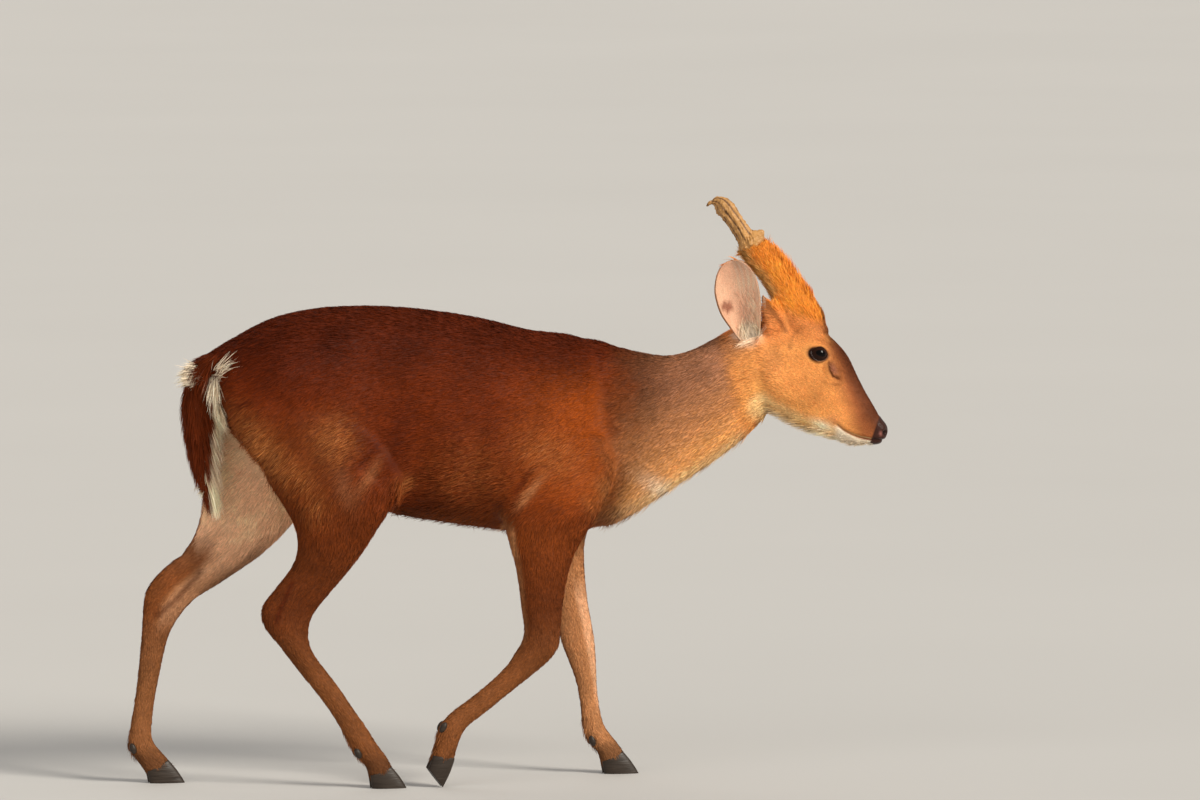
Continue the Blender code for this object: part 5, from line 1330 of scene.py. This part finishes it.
def put_attribute(mesh, name, kind, values):
    mesh.attributes.new(name, kind, "POINT")
    if kind == "FLOAT_COLOR":
        values = np.hstack([values, np.ones((len(values), 1))])
    field = "color" if kind == "FLOAT_COLOR" else "value"
    mesh.attributes[name].data.foreach_set(field, np.ascontiguousarray(values, np.float32).ravel())


def surface_of(item):
    """Triangles of the item as corner places, normals and map places."""
    mesh = item.data
    mesh.calc_loop_triangles()
    count = len(mesh.loop_triangles)
    corners, loops = np.empty(count * 3, np.int32), np.empty(count * 3, np.int32)
    mesh.loop_triangles.foreach_get("vertices", corners)
    mesh.loop_triangles.foreach_get("loops", loops)
    flat = np.empty(len(mesh.loops) * 2, np.float32)
    mesh.uv_layers["OFBake"].data.foreach_get("uv", flat)
    corners, loops = corners.reshape(-1, 3), loops.reshape(-1, 3)
    return points_of(mesh)[corners], normals_of(mesh)[corners], flat.reshape(-1, 2)[loops]


def roots(surface, weigh, count, rng):
    """Random places on the surface, denser where weigh is larger, with normals and map places."""
    places, normals, flat = surface
    middle, facing = places.mean(axis=1), normals.mean(axis=1)
    facing /= np.maximum(np.linalg.norm(facing, axis=1), 1e-6)[:, None]
    area = np.linalg.norm(np.cross(places[:, 1] - places[:, 0], places[:, 2] - places[:, 0]), axis=1) / 2
    weight = area * weigh(middle, facing)
    picked = rng.choice(len(area), count, p=weight / weight.sum())
    a, b = rng.random((2, count))
    over = a + b > 1
    a[over], b[over] = 1 - a[over], 1 - b[over]
    shares = np.stack([1 - a - b, a, b], axis=1)[:, :, None]
    normal = (normals[picked] * shares).sum(axis=1)
    normal /= np.maximum(np.linalg.norm(normal, axis=1), 1e-6)[:, None]
    return (places[picked] * shares).sum(axis=1), normal, (flat[picked] * shares).sum(axis=1)


def tufts(name, roots, ways, length, width, lift, colour, where, rng, steps=2, fall=0.0):
    """Thin tapered blades in one mesh. Each runs from its root along its way and lifts off the skin."""
    places, normals, flat = roots
    count = len(places)
    side = np.cross(normals, ways)
    roll = rng.normal(0.0, 0.45, count)[:, None]
    side = side * np.cos(roll) + normals * np.sin(roll)
    rows = 2 * steps + 1
    points = np.empty((count, rows, 3))
    shade = np.empty((count, rows))
    map_places = np.empty((count, rows, 2))
    for k in range(steps + 1):
        t = k / steps
        centre = places + ways * (length * t)[:, None]
        centre = centre + normals * (length * lift * math.sin(1.35 * t) - 0.0005 * (1 - t))[:, None]
        centre[:, 2] -= fall * length * t * t
        half = (width * (0.5, 0.62, 0.5, 0.3, 0.3)[min(k, 4)] * (1 - 0.25 * t))[:, None]
        if k == steps:
            points[:, -1] = centre
            shade[:, -1] = 1.10
            map_places[:, -1] = flat + (0.0, PATCH / 2)
            continue
        points[:, 2 * k], points[:, 2 * k + 1] = centre - side * half, centre + side * half
        shade[:, 2 * k] = shade[:, 2 * k + 1] = 0.72 + 0.34 * min(1.0, t * 1.6)
        map_places[:, 2 * k] = flat + (-PATCH / 2, PATCH * (t - 0.5))
        map_places[:, 2 * k + 1] = flat + (PATCH / 2, PATCH * (t - 0.5))
    faces = []
    for k in range(steps - 1):
        a = 2 * k
        faces += [(a, a + 1, a + 3), (a, a + 3, a + 2)]
    faces.append((2 * steps - 2, 2 * steps - 1, 2 * steps))
    faces = np.array(faces)
    corners = (faces[None] + (np.arange(count) * rows)[:, None, None]).reshape(-1)
    mesh = bpy.data.meshes.new(name)
    mesh.vertices.add(count * rows)
    mesh.loops.add(len(corners))
    mesh.polygons.add(len(corners) // 3)
    mesh.vertices.foreach_set("co", points.astype(np.float32).ravel())
    mesh.loops.foreach_set("vertex_index", corners.astype(np.int32))
    mesh.polygons.foreach_set("loop_start", np.arange(0, len(corners), 3, dtype=np.int32))
    mesh.polygons.foreach_set("use_smooth", np.ones(len(corners) // 3, bool))
    mesh.update(calc_edges=True)
    layer = mesh.uv_layers.new(name="OFBake")
    spread = np.clip(map_places.reshape(-1, 2)[corners], 0.0, 1.0)
    layer.data.foreach_set("uv", spread.astype(np.float32).ravel())
    tinted = colour[:, None, :] * shade[:, :, None]
    put_attribute(mesh, "coat_colour", "FLOAT_COLOR", np.clip(tinted, 0, 1).reshape(-1, 3))
    made = bpy.data.objects.new(name, mesh)
    where.objects.link(made)
    return made


def varied(colour, places, rng):
    """Each tuft's own colour: clumps and single hairs lighter or darker, some greyer."""
    found = regions(places)
    spread = 0.10 + 0.12 * found["neck"]
    clump = 1 + (0.06 + 0.04 * found["neck"]) * waves(places, 0.0045, 11) + 0.05 * waves(places, 0.017, 13)
    own = np.clip(1 + rng.normal(0.0, 1.0, len(places)) * spread, 0.5, 1.7)
    # Some tufts in the streaks take the pale colour of painted sheen
    streak = streak_share(places) * (1 - found["neck"]) * (colour[:, 0] < 0.4)
    tinted = mixed(colour, SHINE, streak * rng.random(len(places)) ** 2 * 1.6) * (clump * own)[:, None]
    grey = tinted.mean(axis=1, keepdims=True)
    dull = np.clip(rng.normal(0.0, 0.04, len(places)) + 0.14 * found["neck"] * rng.random(len(places)), 0, 0.3)
    return tinted + (grey - tinted) * dull[:, None]


def swirled(ways, normals, places, rng, turn=0.10):
    """The ways turned a little in the skin's plane, by clumps and each for itself."""
    angle = 0.10 * waves(places, 0.012, 21) + rng.normal(0.0, turn, len(places))
    side = np.cross(normals, ways)
    return ways * np.cos(angle)[:, None] + side * np.sin(angle)[:, None]


def short_coat(skin, where, rng):
    surface = surface_of(skin)
    found = roots(surface, lambda p, n: tuft_sizes(p, n)[3], SHORT_TUFTS, rng)
    places, normals, flat = found
    length, width, lift, _ = tuft_sizes(places, normals)
    length = length * np.clip(rng.normal(1.0, 0.20, len(length)), 0.5, 1.6)
    colour = varied(coat_colour(places, normals), places, rng)
    ways = swirled(lie(places, normals), normals, places, rng)
    lift = lift * rng.uniform(0.5, 1.4, len(lift))
    each = TRIANGLES_IN_PIECE // 3
    order = np.argsort(places[:, 0] + 0.3 * places[:, 2])
    made = []
    for n, start in enumerate(range(0, len(order), each)):
        pick = order[start : start + each]
        part = (places[pick], normals[pick], flat[pick])
        args = (length[pick], width[pick], lift[pick], colour[pick])
        made.append(tufts(f"coat_{n + 1}", part, ways[pick], *args, where, rng))
    return made


def long_places(points, normals):
    """Weights, lengths and lifts of the long hair: tail, throat, chin, belly, thighs, fetlocks."""
    found = regions(points)
    local = in_head(points)
    aimed = normals @ np.array(head_matrix().to_3x3())
    x, y, z = points.T
    count = len(points)
    weight, length, lift = np.zeros(count), np.full(count, 0.018), np.full(count, 0.22)

    def grow(share, many, long, high):
        chosen = share > 0.25
        weight[chosen] = (many * share)[chosen]
        length[chosen], lift[chosen] = long, high

    under = ramp(-normals[:, 2], 0.55, 0.9)
    grow(under * (x < 0.1) * (x > -0.16) * (z > 0.31) * (z < 0.42), 0.10, 0.017, 0.16)
    grow(np.exp(-(((x + 0.155) / 0.02) ** 2 + ((z - 0.405) / 0.018) ** 2)) * (np.abs(normals[:, 1]) > 0.2), 0.35, 0.020, 0.28)
    grow((1 - ramp(near_line(points, NECK_UNDER), 0.006, 0.014)) * found["neck"], 0.16, 0.017, 0.22)
    grow(ramp(-normals[:, 0], 0.5, 0.9) * (x < -0.33) * (z > 0.38) * (z < 0.52) * (found["tail"] < 0.3), 0.14, 0.020, 0.18)
    number, _, down = limb_of(points)
    rear = ramp(-(normals * np.stack([-down[:, 2], 0 * x, down[:, 0]], axis=1)).sum(axis=1), 0.5, 0.9)
    grow(rear * (1 - ramp(z, 0.07, 0.09)) * ramp(z, 0.03, 0.045), 0.8, 0.011, 0.25)
    jaw = (1 - ramp(near_line(local, JAW_LINE), 0.004, 0.011)) * (local[:, 0] > 0.0) * (local[:, 0] < 0.105)
    grow(jaw * (local[:, 2] < -0.05) * found["head"], 0.85, 0.0115, 0.36)
    grow(spot(local, (-0.014, 0.033), (0.013, 0.010)) * (x > 0.2), 1.8, 0.0150, 0.45)
    chin = (1 - ramp(near_line(local, JAW_LINE), 0.003, 0.007)) * (local[:, 0] >= 0.105)
    grow(chin * (local[:, 2] < -0.10), 0.9, 0.0062, 0.30)
    grow(found["pedicle"] * ramp(local[:, 2], 0.06, 0.08), 1.1, 0.0120, 0.40)
    ahead = ramp(aimed[:, 0] + 0.45 * aimed[:, 2], 0.5, 0.8)
    grow(found["pedicle"] * ahead * ramp(local[:, 2], 0.07, 0.09), 1.8, 0.0140, 0.62)
    burr = ramp(local[:, 2] - 0.3 * local[:, 0], 0.138, 0.146) * found["pedicle"]
    grow(burr, 2.0, 0.0140, 0.30)
    edge = np.linalg.norm(local[:, [0, 2]] - np.array((-0.012, 0.032)), axis=1)
    grow((1 - ramp(edge, 0.008, 0.016)) * ear_inside(local, aimed) * (np.abs(local[:, 1]) > 0.016), 1.3, 0.013, 0.45)
    height, share, _, _, _ = ear_place(local)
    inside = found["ear"] * ear_inside(local, aimed) * (height > 0.038) * (height < 0.085) * (share > -0.1) * (share < 0.8)
    grow(inside, 0.35, 0.013, 0.22)
    tail = found["tail"] * (z < 0.575)
    grow(tail, 2.4, 0.026, 0.20)
    grow(tail * ramp(x, -0.4140, -0.4100), 3.8, 0.030, 0.24)
    grow(tail * (1 - ramp(z, 0.405, 0.425)), 5.0, 0.040, 0.14)
    grow(root_tuft(points), 4.2, 0.026, 0.24)
    return weight, length, lift


def root_tuft(points):
    """1 where the white tufts at the tail's root grow: one on the near side and a fuller one on the far side."""
    near = spot(points, (-0.402, 0.553), (0.011, 0.011)) * (points[:, 1] < -0.010) * (points[:, 1] > -0.046)
    far = spot(points, (-0.4260, 0.5560), (0.012, 0.013)) * (points[:, 1] > -0.024) * (points[:, 1] < 0.046)
    return np.maximum(near, far)


def long_coat(skin, where, rng):
    surface = surface_of(skin)
    found = roots(surface, lambda p, n: long_places(p, n)[0], LONG_TUFTS, rng)
    places, normals, flat = found
    _, length, lift = long_places(places, normals)
    length = length * np.clip(rng.normal(1.0, 0.22, len(length)), 0.5, 1.5)
    shares = regions(places)
    colour = coat_colour(places, normals)
    ways = swirled(lie(places, normals), normals, places, rng, 0.12)
    on_tail = shares["tail"] > 0.5
    knot = root_tuft(places) > 0.35
    upward = rng.random(len(knot)) < 0.45
    near = np.where(upward[:, None], (0.68, -0.42, 0.60), (0.10, -0.30, -0.95))
    behind = places[:, 0] < -0.4120
    spread = np.stack([-0.9 + 0 * length, 0.15 + 0 * length, 16.0 * (places[:, 2] - 0.560)], axis=1)
    flare = np.where(behind[:, None], spread, near)
    ways = np.where(knot[:, None], flare + rng.normal(0.0, 0.20, (len(knot), 3)), ways)
    length = np.where(knot & upward & ~behind, length * 1.3, length)
    length = np.where(knot & behind, length * rng.uniform(0.3, 0.62, len(knot)), length)
    front = on_tail & (normals[:, 0] > 0.2) & (places[:, 2] < 0.52)
    ways = np.where(front[:, None], (0.20, 0.0, -1.0) + rng.normal(0.0, 0.05, (len(knot), 3)), ways)
    lift = np.where(front, 0.28, lift)
    tip = on_tail & (places[:, 2] < 0.43) & ~front
    ways = np.where(tip[:, None], (0.28, 0.0, -1.0) + rng.normal(0.0, 0.05, (len(knot), 3)), ways)
    lift = np.where(tip, 0.04, lift)
    colour = np.where(knot[:, None], WHITE, colour)
    colour = varied(colour, places, rng)
    length = np.where(on_tail & (places[:, 2] < 0.46), np.minimum(length, (places[:, 2] - 0.368) * 0.95), length)
    length = np.maximum(length, 0.006)
    width = np.where(on_tail, 0.0011, 0.0008)
    return [
        tufts("coat_long", (places, normals, flat), ways, length, width, lift, colour, where, rng, steps=4, fall=0.12)
    ]


def node_of(tree, kind, **values):
    made = tree.nodes.new(kind)
    for name, value in values.items():
        if name in made.inputs:
            made.inputs[name].default_value = value
        else:
            setattr(made, name, value)
    return made


def material(name, roughness, specular=0.3, coat=0.0, sheen=0.0):
    made = bpy.data.materials.new(name)
    made.use_nodes = True
    shader = made.node_tree.nodes["Principled BSDF"]
    shader.inputs["Roughness"].default_value = roughness
    shader.inputs["Specular IOR Level"].default_value = specular
    shader.inputs["Coat Weight"].default_value = coat
    shader.inputs["Coat Roughness"].default_value = 0.04
    shader.inputs["Sheen Weight"].default_value = sheen
    shader.inputs["Sheen Roughness"].default_value = 0.5
    return made, made.node_tree, shader


def noise(tree, scale, detail=3.0, stretch=(1, 1, 1), turn=(0, 0, 0)):
    """Noise over the object's own coordinates, stretched and turned."""
    place = node_of(tree, "ShaderNodeTexCoord")
    fit = node_of(tree, "ShaderNodeMapping", Scale=stretch, Rotation=turn)
    tree.links.new(place.outputs["Object"], fit.inputs["Vector"])
    made = node_of(tree, "ShaderNodeTexNoise", Scale=scale, Detail=detail)
    tree.links.new(fit.outputs["Vector"], made.inputs["Vector"])
    return made.outputs["Fac"]


def ranged(tree, value, low, high, from_low=0.25, from_high=0.75):
    made = node_of(tree, "ShaderNodeMapRange")
    made.inputs["From Min"].default_value = from_low
    made.inputs["From Max"].default_value = from_high
    made.inputs["To Min"].default_value = low
    made.inputs["To Max"].default_value = high
    tree.links.new(value, made.inputs["Value"])
    return made.outputs["Result"]


def scaled_colour(tree, colour, factor):
    made = node_of(tree, "ShaderNodeVectorMath", operation="SCALE")
    tree.links.new(colour, made.inputs[0])
    tree.links.new(factor, made.inputs["Scale"])
    return made.outputs["Vector"]


def blended(tree, share, first, second):
    """A mix of two colours, each a socket or a value."""
    made = node_of(tree, "ShaderNodeMix", data_type="RGBA")
    tree.links.new(share, made.inputs["Factor"])
    for socket, colour in ((made.inputs[6], first), (made.inputs[7], second)):
        if isinstance(colour, tuple):
            socket.default_value = (*colour, 1.0)
        else:
            tree.links.new(colour, socket)
    return made.outputs[2]


def bumped(tree, shader, height, strength, distance):
    made = node_of(tree, "ShaderNodeBump", Strength=strength, Distance=distance)
    tree.links.new(height, made.inputs["Height"])
    tree.links.new(made.outputs["Normal"], shader.inputs["Normal"])


def coat_material():
    made, tree, shader = material("coat", 0.55, 0.05)
    shade = node_of(tree, "ShaderNodeAttribute", attribute_name="coat_colour")
    fleck = ranged(tree, noise(tree, 420.0, 2.0), 0.86, 1.14)
    tree.links.new(scaled_colour(tree, shade.outputs["Color"], fleck), shader.inputs["Base Color"])
    return made


def skin_material():
    made, tree, shader = material("skin", 0.6, 0.12)
    shade = node_of(tree, "ShaderNodeAttribute", attribute_name="coat_colour")
    bare = node_of(tree, "ShaderNodeAttribute", attribute_name="bare")
    grain = noise(tree, 260.0, 4.0, (1.0, 4.0, 3.0), (0.0, 0.25, 0.0))
    fleck = ranged(tree, grain, 0.78, 1.18)
    tree.links.new(scaled_colour(tree, shade.outputs["Color"], fleck), shader.inputs["Base Color"])
    tree.links.new(ranged(tree, bare.outputs["Fac"], 0.62, 0.24, 0.0, 1.0), shader.inputs["Roughness"])
    pebbles = node_of(tree, "ShaderNodeTexVoronoi", Scale=900.0)
    place = node_of(tree, "ShaderNodeTexCoord")
    tree.links.new(place.outputs["Object"], pebbles.inputs["Vector"])
    height = node_of(tree, "ShaderNodeMix", data_type="FLOAT")
    tree.links.new(bare.outputs["Fac"], height.inputs["Factor"])
    tree.links.new(grain, height.inputs[2])
    tree.links.new(pebbles.outputs["Distance"], height.inputs[3])
    bumped(tree, shader, height.outputs[0], 0.5, 0.0006)
    return made


def horn_material():
    made, tree, shader = material("antler_horn", 0.46, 0.4)
    groove = node_of(tree, "ShaderNodeAttribute", attribute_name="groove")
    streak = noise(tree, 60.0, 5.0, (1.0, 1.0, 0.35))
    worn = blended(tree, ranged(tree, streak, 0.0, 1.0), HORN, tuple(c * 0.62 for c in HORN))
    dark = blended(tree, ranged(tree, groove.outputs["Fac"], 0.0, 0.92, 0.35, 0.95), worn, HORN_DARK)
    tree.links.new(dark, shader.inputs["Base Color"])
    tree.links.new(ranged(tree, streak, 0.38, 0.60), shader.inputs["Roughness"])
    bumped(tree, shader, noise(tree, 500.0, 4.0, (1.0, 1.0, 0.3)), 0.45, 0.0008)
    return made


def hoof_material():
    made, tree, shader = material("hoof_horn", 0.42, 0.22)
    rings = noise(tree, 140.0, 3.0, (0.25, 0.25, 3.0))
    colour = blended(tree, ranged(tree, rings, 0.0, 1.0), HOOF, tuple(c * 2.0 for c in HOOF))
    tree.links.new(colour, shader.inputs["Base Color"])
    tree.links.new(ranged(tree, rings, 0.30, 0.52), shader.inputs["Roughness"])
    bumped(tree, shader, rings, 0.5, 0.0010)
    return made


def eye_material():
    made, tree, shader = material("eye", 0.03, 0.11)
    iris = node_of(tree, "ShaderNodeAttribute", attribute_name="iris")
    strands = noise(tree, 700.0, 3.0)
    brown = blended(tree, ranged(tree, strands, 0.0, 1.0), EYE_BROWN, tuple(c * 2.6 for c in EYE_BROWN))
    colour = blended(tree, ranged(tree, iris.outputs["Fac"], 0.0, 1.0, 0.35, 0.65), PUPIL_AND_SHADE, brown)
    tree.links.new(colour, shader.inputs["Base Color"])
    return made


def smooth_shaded(item):
    for face in item.data.polygons:
        face.use_smooth = True
    return item


def build_eye(side, word, where):
    """A ball with a cornea that stands out of it, and the iris ring as an attribute."""
    made = ball("eye_fine_" + word, sided(EYE_PLACE, side), (EYE_RADIUS,) * 3, where, 64, 48)
    points = points_of(made.data)
    arm = points - np.array(sided(EYE_PLACE, side))
    outward = np.array(sided(EYE_OUTWARD, side))
    out = arm @ outward / EYE_RADIUS
    swell = 0.0007 * ramp(out, 0.72, 0.92)
    put_points(made.data, points + outward * swell[:, None])
    along = np.array((math.cos(EYE_SLANT), 0.0, math.sin(EYE_SLANT)))
    along = along - outward * (along @ outward)
    upward = np.cross(outward, along)
    pupil = np.hypot(arm @ along / 0.0068, arm @ upward / 0.0042)
    ring = np.linalg.norm(arm - outward * (arm @ outward)[:, None], axis=1)
    put_attribute(made.data, "iris", "FLOAT", ramp(pupil, 0.85, 1.15) * (1 - ramp(ring, 0.0104, 0.0118)))
    made.data.transform(head_matrix())
    return smooth_shaded(made)


def burr_and_ridges(side):
    """How far the antler's outline stands in or out at each turn and share of its length."""

    def scale(turn, share):
        share = np.array(share)
        twist = turn + 0.8 * share + 0.15 * np.sin(9 * share + side)
        body = ramp(share, 0.20, 0.32)
        ridges = 1 + ANTLER_RIDGE * (np.abs(np.sin(twist * ANTLER_RIDGES / 2)) * 2 - 1.2) * body
        ridges += 0.025 * np.sin(turn * 17 + 24 * share) * body
        burr = np.exp(-(((share - 0.125) / 0.055) ** 2))
        nub = np.abs(np.sin(turn * BURR_NUBS / 2 + side)) ** 3 * (0.70 + 0.40 * np.sin(turn * 3 + 2 * side))
        nubs = 1 + burr * (0.05 + 0.26 * nub)
        knobs = 0.07 * np.sin(turn * 23 + 90 * share) * np.exp(-(((share - 0.20) / 0.06) ** 2))
        return (ridges + knobs) * nubs

    return scale


def antler(side, word, where):
    line = [sided(p, side) for p in ANTLER_LINE]
    halves = [(r, r) for r in ANTLER_RADII]
    made = tube("antler_fine_" + word, line, halves, where, ANTLER_SIDES, ANTLER_STEPS, burr_and_ridges(side))
    turn = np.tile(np.linspace(0, 2 * math.pi, ANTLER_SIDES, endpoint=False), len(made.data.vertices) // ANTLER_SIDES)
    share = np.repeat(np.linspace(0, 1, len(turn) // ANTLER_SIDES), ANTLER_SIDES)
    twist = turn + 0.8 * share + 0.15 * np.sin(9 * share + side)
    groove = (1 - np.abs(np.sin(twist * ANTLER_RIDGES / 2))) * ramp(share, 0.16, 0.26)
    groove = np.maximum(groove, 0.8 * ramp(share, 0.93, 1.0))
    points = points_of(made.data)
    # The hollow is dug in and painted dark too, as shade in it
    hollow = np.exp(-(np.linalg.norm(points - np.array(sided(ANTLER_HOLLOW, side)), axis=1) / 0.0050) ** 2)
    rough = 0.0005 * waves(points, 0.0022, 41) + 0.0007 * waves(points, 0.0060, 42) - 0.0035 * hollow
    put_points(made.data, points + normals_of(made.data) * rough[:, None])
    put_attribute(made.data, "groove", "FLOAT", np.maximum(groove, hollow))
    made.data.transform(head_matrix())
    return smooth_shaded(made)


def claws(limb, rows, where):
    """The two halves of a cloven hoof, from under the coronet's hair to the sole."""
    top = rows[LIMB_CUTS[limb][-1]]
    (toe_x, toe_z), (heel_x, heel_z) = SOLES[limb]
    front, rear = Vector((top[0], 0.0, top[1])), Vector((top[2], 0.0, top[3]))
    front, rear = front.lerp(rear, 0.04), rear.lerp(front, 0.06)
    toe, heel = Vector((toe_x, 0.0, toe_z)), Vector((heel_x, 0.0, heel_z))
    made = []
    for side, word in SIDES:
        table = []
        for share, half, bulge in CLAW_LEVELS:
            a, b = front.lerp(toe, share), rear.lerp(heel, share)
            a = a + (a - b).normalized() * bulge
            table.append((a.x, a.z, b.x, b.z, top[4] + side * CLAW_OFFSET, CLAW_HALF * half, 0.36, 1.9))
        rings = [section(row, 40) for row in between(table, 3)]
        item = skin_rings(f"{limb}_hoof_{word}", rings, where)
        points = points_of(item.data)
        points[:, 2] = np.maximum(points[:, 2], 0.0)
        put_points(item.data, points)
        made.append((smooth_shaded(item), f"{limb}_claw_{word}"))
    return made


def dewclaws(limb, rows, where):
    """Two small side hooves behind the fetlock."""
    row = rows[LIMB_CUTS[limb][2] + 1]
    front, rear = Vector((row[0], row[4], row[1])), Vector((row[2], row[4], row[3]))
    back = (rear - front).normalized()
    lean = math.atan2(back.x, -back.z)
    made = []
    for side, word in SIDES:
        centre = rear + Vector((0.0, side * DEWCLAW_OFFSET, 0.0)) - back * DEWCLAW_SINK
        turn = Matrix.Rotation(-lean - math.pi / 2, 4, "Y")
        item = ball(f"{limb}_spur_{word}", centre, DEWCLAW_RADII, where, 28, 18, turn)
        made.append((smooth_shaded(item), f"{limb}_dewclaw_{word}"))
    return made


def flesh_nodes():
    """The CAD nodes that the skin stands for."""
    kept = ("claw", "eye_", "antler_")
    return [name for name in frame["nodes"] if not any(word in name for word in kept)]


def light(name, place, angle, energy, colour=(1.0, 1.0, 1.0)):
    """A far soft light that shines from the given place towards the origin, so that the floor is even."""
    made = bpy.data.objects.new(name, bpy.data.lights.new(name, "SUN"))
    made.data.angle = math.radians(angle)
    made.data.energy = energy
    made.data.color = colour
    made.location = place
    made.rotation_euler = (-Vector(place)).to_track_quat("-Z", "Y").to_euler()
    made.visible_glossy = name == "key"
    bpy.context.scene.collection.objects.link(made)


def build_stage():
    """Floor, light and the camera at the photograph's angle."""
    shape = bmesh.new()
    bmesh.ops.create_grid(shape, x_segments=1, y_segments=1, size=60.0)
    floor = mesh_object("floor", shape, bpy.context.scene.collection)
    made, tree, shader = material("floor", 0.85, 0.1)
    tone = ranged(tree, noise(tree, 0.7, 3.0), 0.0, 1.0)
    tree.links.new(blended(tree, tone, FLOOR, tuple(c * 0.97 for c in FLOOR)), shader.inputs["Base Color"])
    floor.data.materials.append(made)
    world = bpy.data.worlds.new("studio")
    world.use_nodes = True
    world.node_tree.nodes["Background"].inputs["Color"].default_value = (0.93, 0.91, 0.88, 1.0)
    world.node_tree.nodes["Background"].inputs["Strength"].default_value = 0.38
    bpy.context.scene.world = world
    light("key", (2.9, -3.3, 2.7), 22.0, 3.5, (1.0, 0.93, 0.82))
    light("fill", (-2.6, -3.4, 1.2), 60.0, 1.25, (1.0, 0.94, 0.87))
    light("rim", (-0.5, 3.4, 3.0), 40.0, 0.45, (1.0, 0.96, 0.90))
    angle, height = math.radians(-11.0), math.radians(4.5)
    back = Vector((math.sin(angle) * math.cos(height), -math.cos(angle) * math.cos(height), math.sin(height)))
    right = Vector((math.cos(angle), math.sin(angle), 0.0))
    upward = right.cross(-back)
    target = -BOX_MIDDLE + right * (92 * 0.00135) + upward * (380 * 0.00135)
    camera = bpy.data.objects.new("camera", bpy.data.cameras.new("camera"))
    camera.data.sensor_width = 36.0
    camera.data.lens = 400.0
    camera.data.clip_end = 200.0
    camera.location = target + back * 18.0
    camera.rotation_euler = (-back).to_track_quat("-Z", "Y").to_euler()
    bpy.context.scene.collection.objects.link(camera)
    bpy.context.scene.camera = camera
    bpy.context.scene.view_settings.view_transform = "Standard"


def finished(item, made, nodes):
    """Moves a piece from the drawing's place to the frame's, gives it its material and fixes it to the body."""
    item.data.transform(Matrix.Translation(-BOX_MIDDLE))
    item.data.materials.clear()
    item.data.materials.append(made)
    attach(item, "root")
    if nodes:
        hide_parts(*nodes)


def build():
    rng = np.random.default_rng(SEED)
    parts = collection("muntjac")
    skin = build_skin(parts)
    unwrapped(skin)
    coat = short_coat(skin, parts, rng) + long_coat(skin, parts, rng)
    points, normals = points_of(skin.data), normals_of(skin.data)
    put_attribute(skin.data, "coat_colour", "FLOAT_COLOR", np.clip(skin_colour(points, normals), 0, 1))
    put_attribute(skin.data, "bare", "FLOAT", bare_share(points, normals))
    finished(skin, skin_material(), flesh_nodes())
    fur = coat_material()
    for item in coat:
        finished(item, fur, ())
    horn, hoof, eye = horn_material(), hoof_material(), eye_material()
    for side, word in SIDES:
        finished(antler(side, word, parts), horn, ["antler_" + word])
        finished(build_eye(side, word, parts), eye, ["eye_" + word])
    for limb, rows in limb_tables().items():
        for item, node in claws(limb, rows, parts) + dewclaws(limb, rows, parts):
            finished(item, hoof, [node])
    build_stage()


build()
